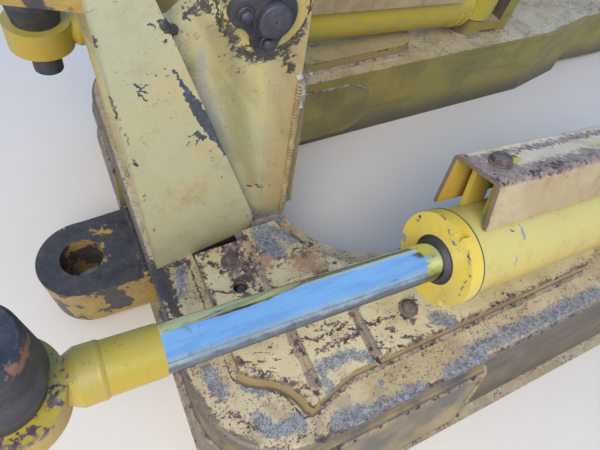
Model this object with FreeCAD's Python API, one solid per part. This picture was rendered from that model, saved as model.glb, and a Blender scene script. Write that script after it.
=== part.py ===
import FreeCAD, Part
import math
import os

# Blade push frame of a compact crawler dozer, with its central tower and its two angle cylinders.
# Millimetres. x forward to the blade, y to the machine's left, z up from the floor it lies on.
# Sizes are laid out from the front rim of the frame (x = 0) and shifted to the middle at the end.

V = FreeCAD.Vector

# Welded box: cross member in front, one arm on each side
lip_half_width = 488.0
lip_ledge = 56.0
rim_half_width = lip_half_width - lip_ledge
lip_front_x = 15.0
arm_foot_width = 276.0
inner_half_gap = lip_half_width - arm_foot_width
cross_depth = 237.0
box_height = 190.0
rim_thickness = 25.0
rim_round = 11.0
lip_thickness = 16.0
lip_slope = 8.0
wall_top_inset = 12.0
wall_foot_inset = 18.0
corner_radius = 132.0
foot_corner_radius = 120.0
fillet_foot_y = 47.0
fillet_radius = inner_half_gap - fillet_foot_y
arm_end_x = -1330.0
arm_taper_length = 190.0
arm_end_outer = rim_half_width - 40.0
arm_end_inner = inner_half_gap + 36.0

# Raised cover plates on the box
cover_thickness = 25.0
cover_top = box_height + cover_thickness
front_cover_front = -70.0
cover_joint_x = -154.0
cover_joint_gap = 1.0
cover_inner_y = 113.0
cover_foot_gap = 15.0
cover_outer_y = rim_half_width - 65.0
cover_corner_y = rim_half_width - 44.0
cover_step_y = rim_half_width - 126.0
cover_corner_drop = 4.0
cover_corner_run = 60.0
arm_cover_end = -725.0
arm_cover_corner = 45.0
arm_cover_margin = 34.0
access_pocket_depth = 70.0
pocket_inset = 8.0
cover_bolt_x = front_cover_front - 46.0
cover_bolt_hole = 7.0
inner_bolt_margin = 32.0
open_bolt_margin = 76.0
outer_bolt_margin = 56.0
cover_bolt_y = (
    cover_inner_y + inner_bolt_margin,
    cover_inner_y + open_bolt_margin,
    cover_step_y - outer_bolt_margin,
)
open_bolt_hole = 11.0
open_bolt_hole_row = 1

# Wear plates on the outer corners and on the inner walls
guard_plate_thickness = 14.0
guard_plate_front_y = 150.0
guard_plate_rear_x = -452.0
guard_plate_slant = 60.0
guard_plate_foot_gap = 6.0
guard_plate_rim_gap = 19.0
guard_plate_bevel = 5.0
inner_plate_thickness = 10.0
inner_plate_margin = 26.0
inner_plate_front_x = -cross_depth - fillet_radius - 2.0
inner_plate_end_x = -600.0

# Tower: two flared posts, two lift ears, front and rear plates
tower_height = 470.0
post_top_z = box_height + tower_height
post_front_x = -12.0
post_front_y = 104.0
post_rear_x = -182.0
post_rear_y = 82.0
post_thickness = 14.0
post_top_width = 46.0
post_top_round = 16.0
post_foot_round = 14.0
ear_outer_y = 72.0
ear_thickness = 16.0
ear_flat_x = -192.0
ear_dish_x = -150.0
ear_dish_in = 1.5
ear_front_x = -72.0
ear_rear_x = -cross_depth
ear_rear_lean = 6.0
lift_pin_x = -181.0
lift_pin_drop = 78.0
lift_pin_z = post_top_z - lift_pin_drop
lift_pin_radius = 21.0
lift_boss_radius = 47.0
lift_boss_height = 8.0
ear_lobe_radius = 51.0
ear_notch_x = -84.0
ear_notch_z = post_top_z - 75.0
keeper_thickness = 10.0
keeper_hub_radius = 29.0
keeper_bolt_reach = 29.0
keeper_corner_radius = 15.0
keeper_angles = (13.0, -82.0)
lift_pin_head = 4.0
lift_pin_tail = 2.0
rear_plate_thickness = 10.0
rear_plate_low = cover_top + 4.0
rear_plate_drop = 182.0
rear_plate_top = post_top_z - rear_plate_drop
front_plate_thickness = 12.0
front_plate_inset = 14.0

# Blade pivots on the centre line
king_x = 95.0
upper_lug_thickness = 38.0
upper_lug_drop = 48.0
upper_lug_z = post_top_z - upper_lug_drop
upper_lug_radius = 46.0
upper_lug_straight = 10.0
upper_lug_bore = 25.0
upper_lug_root_x = -64.0
lower_lug_low = 25.0
lower_lug_drop = 65.0
lower_lug_high = box_height - lower_lug_drop
lower_lug_radius = 72.0
lower_lug_straight = 20.0
lower_lug_bore = 35.0
lower_lug_root_x = -40.0
lower_lug_root_half = 78.0

# Rear pivots of the arms
pivot_x = -1555.0
pivot_z = box_height / 2
pivot_y = rim_half_width - 112.0
pivot_head_radius = 82.0
pivot_head_width = 116.0
pivot_neck = 40.0
pivot_bush_outer = 48.0
pivot_bush_bore = 40.0
pivot_bush_width = 128.0
pivot_root_margin = 20.0

# Angle cylinders, laid along the arms and rising to the blade
cylinder_y = rim_half_width - 127.0
cylinder_pitch = {"left": 8.0, "right": 4.6}
anchor_behind_cover = 194.0
anchor_x = arm_cover_end - anchor_behind_cover
rod_radius = 25.0
barrel_radius = 60.0
barrel_sink = 9.5
anchor_z = cover_top + barrel_radius - barrel_sink
bore_radius = 50.0
gland_radius = 64.0
gland_flange = 23.0
gland_groove = 3.0
gland_insert = 60.0
gland_notch_width = 12.0
gland_notch_depth = 9.0
gland_notch_turns = (-4.0, 115.0, 236.0)
gland_to_pin = 588.0
rod_reach_left = 486.0
rod_reach_right = 380.0
rod_inside = 90.0
rear_cap_start = 60.0
rear_cap_end = 88.0
running_fit = 0.05
wiper_outer = 34.0
wiper_seat = 8.0
wiper_stand = 6.0
tail_eye_radius = 54.0
tail_eye_height = 60.0
tail_neck_width = 84.0
tail_neck_overlap = 6.0
tail_bush_wall = 7.0
anchor_pin_radius = 22.5
anchor_gap = 5.5
anchor_ear_thickness = 24.0
anchor_ear_radius = 50.0
anchor_web_start = -66.0
anchor_web_end = -100.0
anchor_web_half = 30.0
anchor_pin_head_radius = 32.0
anchor_pin_head = 10.0

# Oil ports on the barrel and the steel pipe under the guard
port_front = 455.0
port_rear = 104.0
port_turn = 27.0
port_boss_radius = 15.0
port_boss_rise = 9.0
pipe_radius = 7.0
pipe_bend = 14.0
pipe_level = 88.0
pipe_end = 96.0
pipe_nut_radius = 11.0
pipe_nut_length = 16.0

# Bolted channel guard over each barrel, turned inward and set off to the inside
guard_turn = 16.4
guard_offset = 16.5
guard_top_height = 123.0
guard_top_half = 38.0
guard_flare = 6.0
guard_short_foot = 58.0
guard_long_foot = 44.0
guard_sheet = 6.0
guard_bend = 9.0
guard_front = 550.0
guard_rear = 120.0
guard_bolt_back = 42.0
guard_slot_half = 7.0
guard_slot_length = 34.0
bracket_width = 36.0
bracket_sheet = 8.0
bracket_half = 22.0

# Forged rod end, its rubber boot and its pin with a deep head
eye_outer = 51.0
eye_height = 44.0
eye_sleeve = 132.0
eye_weld = 77.0
eye_sleeve_radius = 26.5
eye_neck_radius = 28.0
eye_blend_start = 58.0
eye_blend_end = 44.0
eye_bearing_outer = 34.0
eye_pin_radius = 25.0
eye_pin_free_radius = 24.0
eye_pin_free = 48.0
boot_foot_radius = 36.0
boot_top_radius = 42.0
boot_height = 36.0
pin_head_foot = 43.0
pin_head_top = 36.0
pin_head_height = 58.0
pin_head_bevel = 3.0

# Shapes from outlines: a step is a point to draw to, or a point on an arc and the arc's end


def outline(start, *steps, place):
    edges = []
    here = start
    for step in steps:
        if len(step) == 2:
            edges.append(Part.LineSegment(place(*here), place(*step)).toShape())
            here = step
        else:
            over, end = step[:2], step[2:]
            edges.append(Part.Arc(place(*here), place(*over), place(*end)).toShape())
            here = end
    if math.dist(here, start) > 1e-6:
        edges.append(Part.LineSegment(place(*here), place(*start)).toShape())
    return Part.Face(Part.Wire(edges))


def plate_from_top(start, *steps, low, high):
    face = outline(start, *steps, place=lambda x, y: V(x, y, low))
    return face.extrude(V(0, 0, high - low))


def plate_from_side(start, *steps, low, high):
    face = outline(start, *steps, place=lambda x, z: V(x, low, z))
    return face.extrude(V(0, high - low, 0))


def bar_along_x(start, *steps, low, high):
    face = outline(start, *steps, place=lambda y, z: V(low, y, z))
    return face.extrude(V(high - low, 0, 0))


def rod_along(axis, radius, low, high, at=(0.0, 0.0, 0.0)):
    base = V(*at) + axis * low
    return Part.makeCylinder(radius, high - low, base, axis)


def mirrored(shape):
    return shape.mirror(V(0, 0, 0), V(0, 1, 0))


def on_arc(centre, radius, degrees):
    turn = math.radians(degrees)
    return (centre[0] + radius * math.cos(turn), centre[1] + radius * math.sin(turn))


AX = V(1, 0, 0)
AY = V(0, 1, 0)
AZ = V(0, 0, 1)

nodes = {}

# Plan outline of the cross member: straight sides, a quarter turn, a straight front


def cross_outline(front, half_width, radius, z, rear=-cross_depth):
    turn = (front - radius, half_width - radius)
    return outline(
        (rear, -half_width),
        (turn[0], -half_width),
        (*on_arc((turn[0], -turn[1]), radius, -45.0), front, -turn[1]),
        (front, turn[1]),
        (*on_arc(turn, radius, 45.0), turn[0], half_width),
        (rear, half_width),
        place=lambda x, y: V(x, y, z))


def between(low_face, high_face):
    return Part.makeLoft([low_face.OuterWire, high_face.OuterWire], True, True)


lip_top = lip_thickness + lip_slope
under_rim = box_height - rim_thickness
foot_half_width = lip_half_width - wall_foot_inset
foot_front_x = lip_front_x - wall_foot_inset
top_half_width = rim_half_width - wall_top_inset
top_front_x = -wall_top_inset
top_corner_radius = corner_radius - wall_top_inset


def wall_outline(z, out=0.0, rear=-cross_depth):
    # The leaning wall at one height, pushed out by a plate's thickness
    rise = (z - lip_top) / (under_rim - lip_top)
    return cross_outline(
        foot_front_x + rise * (top_front_x - foot_front_x) + out,
        foot_half_width + rise * (top_half_width - foot_half_width) + out,
        foot_corner_radius + rise * (top_corner_radius - foot_corner_radius) + out,
        z, rear)


lip_radius = foot_corner_radius + wall_foot_inset
lip_face = cross_outline(lip_front_x, lip_half_width, lip_radius, 0.0)
cross_box = lip_face.extrude(V(0, 0, lip_thickness))
lip_upper = cross_outline(lip_front_x, lip_half_width, lip_radius, lip_thickness)
cross_box = cross_box.fuse(between(lip_upper, wall_outline(lip_top)))
cross_box = cross_box.fuse(between(wall_outline(lip_top), wall_outline(under_rim)))
rim = cross_outline(0.0, rim_half_width, corner_radius, under_rim).extrude(V(0, 0, rim_thickness))
rim_edges = [e for e in rim.Edges if e.BoundBox.ZLength < 1.0 and e.BoundBox.XMax > 1.0 - cross_depth]
rim = rim.makeFillet(rim_round, rim_edges)
cross_box = cross_box.fuse(rim).removeSplitter()

# Tower posts flare forward; their outer face is the edge of the slots beside the tower
flare = (post_front_y - post_rear_y) / (post_front_x - post_rear_x)


def post_y(x):
    return post_front_y - (post_front_x - x) * flare


# Access pockets under the front covers, open at the slots beside the tower
pocket_rear = cover_joint_x + pocket_inset
pocket = plate_from_top(
    (front_cover_front, post_y(front_cover_front)),
    (front_cover_front, cover_inner_y),
    (front_cover_front - pocket_inset, cover_inner_y),
    (front_cover_front - pocket_inset, cover_bolt_y[-1] - pocket_inset),
    (pocket_rear, cover_bolt_y[-1] - pocket_inset),
    (pocket_rear, post_y(pocket_rear)),
    low=box_height - access_pocket_depth, high=box_height + 1.0)
cross_box = cross_box.cut(pocket).cut(mirrored(pocket))
nodes["cross_box"] = cross_box

# Arms: the same section run back, with the curved gusset at the inner corner and a tapered end
rim_low_centre = (rim_half_width - rim_round, under_rim + rim_round)
rim_high_centre = (rim_half_width - rim_round, box_height - rim_round)
arm = bar_along_x(
    (inner_half_gap, 0.0),
    (lip_half_width, 0.0),
    (lip_half_width, lip_thickness),
    (foot_half_width, lip_top),
    (top_half_width, under_rim),
    (rim_low_centre[0], under_rim),
    (*on_arc(rim_low_centre, rim_round, -45.0), rim_half_width, rim_low_centre[1]),
    (rim_half_width, rim_high_centre[1]),
    (*on_arc(rim_high_centre, rim_round, 45.0), rim_high_centre[0], box_height),
    (inner_half_gap, box_height),
    low=arm_end_x, high=-cross_depth)
gusset_foot = fillet_foot_y
gusset_centre = (-cross_depth - fillet_radius, gusset_foot)
gusset = plate_from_top(
    (-cross_depth, gusset_foot),
    (*on_arc(gusset_centre, fillet_radius, 45.0), gusset_centre[0], inner_half_gap),
    (gusset_centre[0], inner_half_gap + 40.0),
    (-cross_depth, inner_half_gap + 40.0),
    low=0.0, high=box_height)
taper_x = arm_end_x + arm_taper_length
outer_taper = plate_from_top(
    (taper_x, lip_half_width + 1.0), (arm_end_x - 1.0, lip_half_width + 1.0),
    (arm_end_x - 1.0, arm_end_outer), (arm_end_x, arm_end_outer),
    low=-1.0, high=box_height + 1.0)
inner_taper = plate_from_top(
    (taper_x, inner_half_gap - 1.0), (arm_end_x - 1.0, inner_half_gap - 1.0),
    (arm_end_x - 1.0, arm_end_inner), (arm_end_x, arm_end_inner),
    low=-1.0, high=box_height + 1.0)
arm = arm.fuse(gusset).removeSplitter().cut(outer_taper).cut(inner_taper)
nodes["left_arm"] = arm
nodes["right_arm"] = mirrored(arm)

# Front cover: a bolted strip with a curved outer end
front_cover = plate_from_top(
    (front_cover_front, cover_inner_y),
    (front_cover_front, cover_step_y),
    (front_cover_front - 12.0, cover_step_y + 12.0, front_cover_front - 34.0, cover_step_y + 24.0),
    (front_cover_front - 56.0, cover_step_y + 44.0, front_cover_front - 72.0, cover_corner_y),
    (cover_joint_x + cover_joint_gap, cover_corner_y - cover_corner_drop),
    (cover_joint_x + cover_joint_gap, cover_inner_y),
    low=box_height, high=cover_top)
for row, bolt_y in enumerate(cover_bolt_y):
    radius = open_bolt_hole if row == open_bolt_hole_row else cover_bolt_hole
    hole = rod_along(AZ, radius, box_height - 1.0, cover_top + 1.0, (cover_bolt_x, bolt_y, 0.0))
    front_cover = front_cover.cut(hole)
nodes["left_front_cover"] = front_cover
nodes["right_front_cover"] = mirrored(front_cover)

# Arm cover: from the tower's foot round the inner corner and back along the arm
cover_fillet = fillet_radius + arm_cover_margin
cover_line_y = inner_half_gap + arm_cover_margin
cover_foot_y = cover_inner_y - cover_foot_gap
foot_angle = math.degrees(math.asin((cover_foot_y - gusset_foot) / cover_fillet))
cover_foot = on_arc(gusset_centre, cover_fillet, foot_angle)
end_x = arm_cover_end + arm_cover_corner
outer_round = (end_x, cover_outer_y - arm_cover_corner)
inner_round_at = (end_x, cover_line_y + arm_cover_corner)
arm_cover = plate_from_top(
    (cover_joint_x, cover_foot_y),
    (cover_joint_x, cover_corner_y - cover_corner_drop),
    (cover_joint_x - cover_corner_run, cover_outer_y),
    (end_x, cover_outer_y),
    (*on_arc(outer_round, arm_cover_corner, 135.0), arm_cover_end, outer_round[1]),
    (arm_cover_end, inner_round_at[1]),
    (*on_arc(inner_round_at, arm_cover_corner, 225.0), end_x, cover_line_y),
    (gusset_centre[0], cover_line_y),
    (*on_arc(gusset_centre, cover_fillet, (90.0 + foot_angle) / 2), *cover_foot),
    low=box_height, high=cover_top)
nodes["left_arm_cover"] = arm_cover
nodes["right_arm_cover"] = mirrored(arm_cover)

# Corner wear plate: a bent band on the leaning wall, bevelled above and cut slanting at its rear
guard_plate_low = lip_top + guard_plate_foot_gap
guard_plate_high = under_rim - guard_plate_rim_gap
bevel_z = guard_plate_high - guard_plate_bevel
band_low = wall_outline(guard_plate_low, guard_plate_thickness, guard_plate_rear_x)
band_mid = wall_outline(bevel_z, guard_plate_thickness, guard_plate_rear_x)
band_high = wall_outline(guard_plate_high, guard_plate_thickness - guard_plate_bevel, guard_plate_rear_x)
band = between(band_low, band_mid).fuse(between(band_mid, band_high))
core_rear = guard_plate_rear_x - 1.0
core = between(wall_outline(lip_top, 0.0, core_rear), wall_outline(under_rim, 0.0, core_rear))
slant = plate_from_side(
    (core_rear, 0.0),
    (guard_plate_rear_x + guard_plate_slant, 0.0),
    (core_rear, box_height),
    low=inner_half_gap, high=lip_half_width + guard_plate_thickness)
keep = Part.makeBox(
    lip_half_width - guard_plate_rear_x, lip_half_width, box_height,
    V(guard_plate_rear_x, guard_plate_front_y, 0.0))
corner_guard = band.cut(core).cut(slant).common(keep).removeSplitter()
nodes["left_corner_guard"] = corner_guard
nodes["right_corner_guard"] = mirrored(corner_guard)

# Inner wear plate: flat on the inner wall, round at its rear end
inner_plate_low = inner_plate_margin
inner_plate_high = box_height - inner_plate_margin
inner_mid = (inner_plate_low + inner_plate_high) / 2
inner_round = (inner_plate_high - inner_plate_low) / 2
inner_plate = plate_from_side(
    (inner_plate_front_x, inner_plate_low),
    (inner_plate_end_x + inner_round, inner_plate_low),
    (inner_plate_end_x, inner_mid, inner_plate_end_x + inner_round, inner_plate_high),
    (inner_plate_front_x, inner_plate_high),
    low=inner_half_gap - inner_plate_thickness, high=inner_half_gap)
nodes["left_inner_plate"] = inner_plate
nodes["right_inner_plate"] = mirrored(inner_plate)

# Tower posts: upright plates that flare forward, with a leaning rear edge
post_rear_top = post_front_x - post_top_width
lean = math.atan2(post_rear_top - post_rear_x, post_top_z - cover_top)
foot_above = (post_rear_x + post_foot_round * math.sin(lean), cover_top + post_foot_round * math.cos(lean))
post_block = plate_from_side(
    (post_front_x, box_height),
    (post_front_x, post_top_z - post_top_round),
    (*on_arc((post_front_x - post_top_round, post_top_z - post_top_round), post_top_round, 45.0),
     post_front_x - post_top_round, post_top_z),
    (post_rear_top, post_top_z),
    foot_above,
    (post_rear_x + post_foot_round / 4, cover_top, post_rear_x + post_foot_round, box_height),
    low=0.0, high=post_front_y + post_thickness)
post_slab = plate_from_top(
    (post_front_x + 1.0, post_y(post_front_x + 1.0)),
    (post_rear_x - 1.0, post_y(post_rear_x - 1.0)),
    (post_rear_x - 1.0, post_y(post_rear_x - 1.0) - post_thickness),
    (post_front_x + 1.0, post_y(post_front_x + 1.0) - post_thickness),
    low=box_height - 1.0, high=post_top_z + 1.0)
post = post_block.common(post_slab)
nodes["left_tower_post"] = post
nodes["right_tower_post"] = mirrored(post)

# Lift ears: flat behind, dished where they bend out to the posts, with a round lobe and a boss for the pin
ear_front_outer = post_y(ear_front_x) - post_thickness
dish = (ear_dish_x, ear_outer_y - ear_dish_in)
ear_tail_x = ear_rear_x - ear_rear_lean
ear_slab = plate_from_top(
    (ear_tail_x, ear_outer_y),
    (ear_flat_x, ear_outer_y),
    (*dish, ear_front_x, ear_front_outer),
    (ear_front_x, ear_front_outer - ear_thickness),
    (dish[0], dish[1] - ear_thickness, ear_flat_x, ear_outer_y - ear_thickness),
    (ear_tail_x, ear_outer_y - ear_thickness),
    low=box_height, high=post_top_z)
lobe = (lift_pin_x, lift_pin_z)
ear_block = plate_from_side(
    (ear_tail_x, box_height),
    (ear_tail_x, cover_top),
    (ear_rear_x, rear_plate_top),
    (ear_rear_x, lift_pin_z),
    (*on_arc(lobe, ear_lobe_radius, 120.0), *on_arc(lobe, ear_lobe_radius, 62.0)),
    (ear_notch_x, ear_notch_z),
    (ear_front_x, ear_notch_z),
    (ear_front_x, box_height),
    low=0.0, high=post_front_y)
at_pin = (lift_pin_x, 0.0, lift_pin_z)
ear_boss = rod_along(AY, lift_boss_radius, ear_outer_y, ear_outer_y + lift_boss_height, at_pin)
lift_bore = rod_along(AY, lift_pin_radius + running_fit, 0.0, post_front_y, at_pin)
above_cross = Part.makeBox(
    post_front_x - ear_rear_x, post_front_y, post_top_z, V(ear_rear_x, 0.0, box_height))
behind_cross = Part.makeBox(
    ear_rear_lean, post_front_y, post_top_z, V(ear_tail_x, 0.0, cover_top))
ear = ear_slab.common(ear_block).common(above_cross.fuse(behind_cross))
ear = ear.cut(post).fuse(ear_boss).cut(lift_bore)
nodes["left_lift_ear"] = ear
nodes["right_lift_ear"] = mirrored(ear)

# Lift pin through both ears, held by a three-cornered keeper on the left
boss_face = ear_outer_y + lift_boss_height
keeper_face = boss_face + keeper_thickness
nodes["lift_pin"] = rod_along(
    AY, lift_pin_radius, -boss_face - lift_pin_tail, keeper_face + lift_pin_head, at_pin)
keeper = rod_along(AY, keeper_hub_radius, boss_face, keeper_face, at_pin)
for angle in keeper_angles:
    x, z = on_arc(lobe, keeper_bolt_reach, angle)
    pad = rod_along(AY, keeper_corner_radius, boss_face, keeper_face, (x, 0.0, z))
    web = plate_from_side(
        on_arc(lobe, keeper_hub_radius, angle + 90.0),
        on_arc((x, z), keeper_corner_radius, angle + 90.0),
        on_arc((x, z), keeper_corner_radius, angle - 90.0),
        on_arc(lobe, keeper_hub_radius, angle - 90.0),
        low=boss_face, high=keeper_face)
    keeper = keeper.fuse(pad).fuse(web)
keeper_web = plate_from_side(
    on_arc(lobe, keeper_bolt_reach + keeper_corner_radius - 1.0, keeper_angles[0]),
    on_arc(lobe, keeper_bolt_reach + keeper_corner_radius - 1.0, keeper_angles[1]),
    lobe,
    low=boss_face, high=keeper_face)
keeper = keeper.fuse(keeper_web).removeSplitter()
pin_hole = rod_along(AY, lift_pin_radius + running_fit, boss_face - 1.0, keeper_face + 1.0, at_pin)
nodes["lift_pin_keeper"] = keeper.cut(pin_hole)

# Rear plate against the ears' leaning rear edges; front plate between the posts
nodes["tower_rear_plate"] = plate_from_side(
    (ear_rear_x, rear_plate_top),
    (ear_rear_x - rear_plate_thickness, rear_plate_top),
    (ear_tail_x - rear_plate_thickness, rear_plate_low),
    (ear_tail_x, rear_plate_low),
    low=-ear_outer_y, high=ear_outer_y)
front_plate_x = post_front_x - front_plate_inset
front_half = post_y(front_plate_x) - post_thickness
back_half = post_y(front_plate_x - front_plate_thickness) - post_thickness
nodes["tower_front_plate"] = plate_from_top(
    (front_plate_x, -front_half),
    (front_plate_x, front_half),
    (front_plate_x - front_plate_thickness, back_half),
    (front_plate_x - front_plate_thickness, -back_half),
    low=box_height, high=upper_lug_z)

# Upper blade pivot: a thick lug between the posts; lower pivot: a deep lug on the cross member
root_half = post_y(upper_lug_root_x) - post_thickness
mouth_half = post_y(post_front_x) - post_thickness
upper_lug = plate_from_top(
    (upper_lug_root_x, -root_half),
    (post_front_x, -mouth_half),
    (king_x - upper_lug_straight, -upper_lug_radius),
    (king_x, -upper_lug_radius),
    (king_x + upper_lug_radius, 0.0, king_x, upper_lug_radius),
    (king_x - upper_lug_straight, upper_lug_radius),
    (post_front_x, mouth_half),
    (upper_lug_root_x, root_half),
    low=upper_lug_z, high=upper_lug_z + upper_lug_thickness)
nodes["upper_pivot_lug"] = upper_lug.cut(rod_along(AZ, upper_lug_bore, 0.0, post_top_z, (king_x, 0.0, 0.0)))
lower_lug = plate_from_top(
    (lower_lug_root_x, -lower_lug_root_half),
    (king_x - lower_lug_straight, -lower_lug_radius),
    (king_x, -lower_lug_radius),
    (king_x + lower_lug_radius, 0.0, king_x, lower_lug_radius),
    (king_x - lower_lug_straight, lower_lug_radius),
    (lower_lug_root_x, lower_lug_root_half),
    low=lower_lug_low, high=lower_lug_high)
lower_lug = lower_lug.cut(rod_along(AZ, lower_lug_bore, 0.0, box_height, (king_x, 0.0, 0.0)))
nodes["lower_pivot_lug"] = lower_lug.cut(cross_box)

# Rear pivot heads with bushings
head = plate_from_side(
    (arm_end_x, pivot_root_margin),
    (pivot_x + pivot_neck, pivot_z - pivot_head_radius),
    (pivot_x, pivot_z - pivot_head_radius),
    (pivot_x - pivot_head_radius, pivot_z, pivot_x, pivot_z + pivot_head_radius),
    (pivot_x + pivot_neck, pivot_z + pivot_head_radius),
    (arm_end_x, box_height - pivot_root_margin),
    low=pivot_y - pivot_head_width / 2, high=pivot_y + pivot_head_width / 2)
pivot_low = pivot_y - pivot_bush_width / 2
pivot_high = pivot_y + pivot_bush_width / 2
pivot_at = (pivot_x, 0.0, pivot_z)
head = head.cut(rod_along(AY, pivot_bush_outer, pivot_low, pivot_high, pivot_at))
bush = rod_along(AY, pivot_bush_outer, pivot_low, pivot_high, pivot_at)
bush = bush.cut(rod_along(AY, pivot_bush_bore, pivot_low - 1.0, pivot_high + 1.0, pivot_at))
nodes["left_pivot_head"] = head
nodes["right_pivot_head"] = mirrored(head)
nodes["left_pivot_bushing"] = bush
nodes["right_pivot_bushing"] = mirrored(bush)

# Angle cylinders are drawn along x from the anchor pin, then tilted and set on their arms
origin = V(0, 0, 0)
anchor_at = V(anchor_x, cylinder_y, anchor_z)


def placed(shape, side):
    tilt = FreeCAD.Placement(anchor_at, FreeCAD.Rotation(AY, -cylinder_pitch[side]))
    moved = shape.copy()
    moved.Placement = tilt.multiply(shape.Placement)
    return moved if side == "left" else mirrored(moved)


# Anchor bracket: two ears on a web behind the tail eye, cut off flat on the arm's top
half_eye = tail_eye_height / 2
ear_levels = ((half_eye + anchor_gap, half_eye + anchor_gap + anchor_ear_thickness),
              (-half_eye - anchor_gap - anchor_ear_thickness, -half_eye - anchor_gap))
bracket_drop = 2 * (anchor_z - box_height)
bracket = Part.makeBox(
    anchor_web_start - anchor_web_end, 2 * anchor_ear_radius, ear_levels[0][1] + bracket_drop,
    V(anchor_web_end, -anchor_ear_radius, -bracket_drop))
for low, high in ear_levels:
    bracket = bracket.fuse(plate_from_top(
        (anchor_web_start, -anchor_ear_radius),
        (0.0, -anchor_ear_radius),
        (anchor_ear_radius, 0.0, 0.0, anchor_ear_radius),
        (anchor_web_start, anchor_ear_radius),
        low=low, high=high))
foot = rod_along(AZ, anchor_ear_radius, -bracket_drop, ear_levels[1][0])
foot_web = Part.makeBox(
    -anchor_web_start, 2 * anchor_web_half, bracket_drop + ear_levels[1][0],
    V(anchor_web_start, -anchor_web_half, -bracket_drop))
bracket = bracket.fuse(foot).fuse(foot_web).removeSplitter()
bracket = bracket.cut(rod_along(AZ, anchor_pin_radius, -2 * bracket_drop, 2 * bracket_drop))
arm_size = 6 * anchor_ear_radius
below_arm = Part.makeBox(
    arm_size, arm_size, arm_size,
    V(anchor_x - arm_size / 2, cylinder_y - arm_size / 2, box_height - arm_size))
nodes["left_anchor_bracket"] = placed(bracket, "left").cut(below_arm)
nodes["right_anchor_bracket"] = placed(bracket, "right").cut(mirrored(below_arm))
pin_low = ear_levels[1][0] - 1.0
pin_high = ear_levels[0][1]
anchor_pin = rod_along(AZ, anchor_pin_radius, pin_low, pin_high)
anchor_head = rod_along(AZ, anchor_pin_head_radius, pin_high, pin_high + anchor_pin_head)
anchor_pin = anchor_pin.fuse(anchor_head).removeSplitter()
for side in cylinder_pitch:
    nodes[side + "_anchor_pin"] = placed(anchor_pin, side)

# Barrel: honed tube with a welded rear cap, a tail eye and two oil ports under the guard
gland_face = gland_to_pin
barrel_front = gland_face - gland_flange
barrel = rod_along(AX, barrel_radius, rear_cap_start, barrel_front)
tail_eye = rod_along(AZ, tail_eye_radius, -half_eye, half_eye)
tail_neck = Part.makeBox(
    rear_cap_start + tail_neck_overlap, tail_neck_width, tail_eye_height,
    V(0.0, -tail_neck_width / 2, -half_eye))
boss_top = barrel_radius + port_boss_rise
bosses = [rod_along(AZ, port_boss_radius, 0.0, boss_top, (x, 0.0, 0.0)) for x in (port_front, port_rear)]
for boss in bosses:
    boss.rotate(origin, AX, port_turn)
    barrel = barrel.fuse(boss)
bore = rod_along(AX, bore_radius, rear_cap_end, barrel_front + 1.0)
tail_bore = rod_along(AZ, anchor_pin_radius + tail_bush_wall, -half_eye - 1.0, half_eye + 1.0)
barrel = barrel.fuse(tail_eye).fuse(tail_neck).removeSplitter().cut(bore).cut(tail_bore)
tail_bush = rod_along(AZ, anchor_pin_radius + tail_bush_wall, -half_eye, half_eye)
tail_bush = tail_bush.cut(rod_along(AZ, anchor_pin_radius + running_fit, -half_eye - 1.0, half_eye + 1.0))

# Steel pipe from the front port back under the guard to a union nut
rise_end = (port_front, pipe_level - pipe_bend)
turn_centre = (port_front - pipe_bend, pipe_level - pipe_bend)
pipe_path = Part.Wire([
    Part.LineSegment(V(port_front, 0.0, boss_top), V(rise_end[0], 0.0, rise_end[1])).toShape(),
    Part.Arc(V(rise_end[0], 0.0, rise_end[1]),
             V(turn_centre[0] + pipe_bend * math.cos(math.pi / 4), 0.0,
               turn_centre[1] + pipe_bend * math.sin(math.pi / 4)),
             V(turn_centre[0], 0.0, pipe_level)).toShape(),
    Part.LineSegment(V(turn_centre[0], 0.0, pipe_level), V(pipe_end, 0.0, pipe_level)).toShape(),
])
pipe_ring = Part.Wire(Part.makeCircle(pipe_radius, V(port_front, 0.0, boss_top), AZ))
pipe = pipe_path.makePipeShell([pipe_ring], True, False)
pipe_nut = rod_along(AX, pipe_nut_radius, pipe_end, pipe_end + pipe_nut_length, (0.0, 0.0, pipe_level))
port_nut = rod_along(AZ, pipe_nut_radius, boss_top, rise_end[1], (port_front, 0.0, 0.0))
oil_pipe = pipe.fuse(pipe_nut).fuse(port_nut).removeSplitter()
oil_pipe.rotate(origin, AX, port_turn)

# Gland: flanged nut with three spanner notches, screwed into the tube, and its wiper ring
flange_rear = gland_face - gland_flange
gland = rod_along(AX, gland_radius, flange_rear + gland_groove, gland_face)
gland = gland.fuse(rod_along(AX, bore_radius, gland_face - gland_insert, flange_rear + gland_groove))
gland = gland.cut(rod_along(AX, rod_radius + running_fit, gland_face - gland_insert - 1.0, gland_face + 1.0))
gland = gland.cut(rod_along(AX, wiper_outer, gland_face - wiper_seat, gland_face + 1.0))
notch_length = gland_flange - 3 * gland_groove
for turn in gland_notch_turns:
    notch = Part.makeBox(
        notch_length, gland_notch_width, 2 * gland_notch_depth,
        V(gland_face + 1.0 - notch_length, -gland_notch_width / 2, gland_radius - gland_notch_depth))
    notch.rotate(origin, AX, turn)
    gland = gland.cut(notch)
wiper = rod_along(AX, wiper_outer, gland_face - wiper_seat, gland_face)
wiper_lip = Part.makeCone(wiper_outer - 3.0, rod_radius + 2.0, wiper_stand, V(gland_face, 0, 0), AX)
wiper = wiper.fuse(wiper_lip)
wiper_front = gland_face + wiper_stand + 1.0
wiper = wiper.cut(rod_along(AX, rod_radius + running_fit, gland_face - wiper_seat - 1.0, wiper_front))

# Guard: bent channel with flared legs, one longer, bolted on two saddles that stand on the barrel
flare_turn = math.radians(guard_flare)
corner_turn = math.pi / 2 - flare_turn


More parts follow.
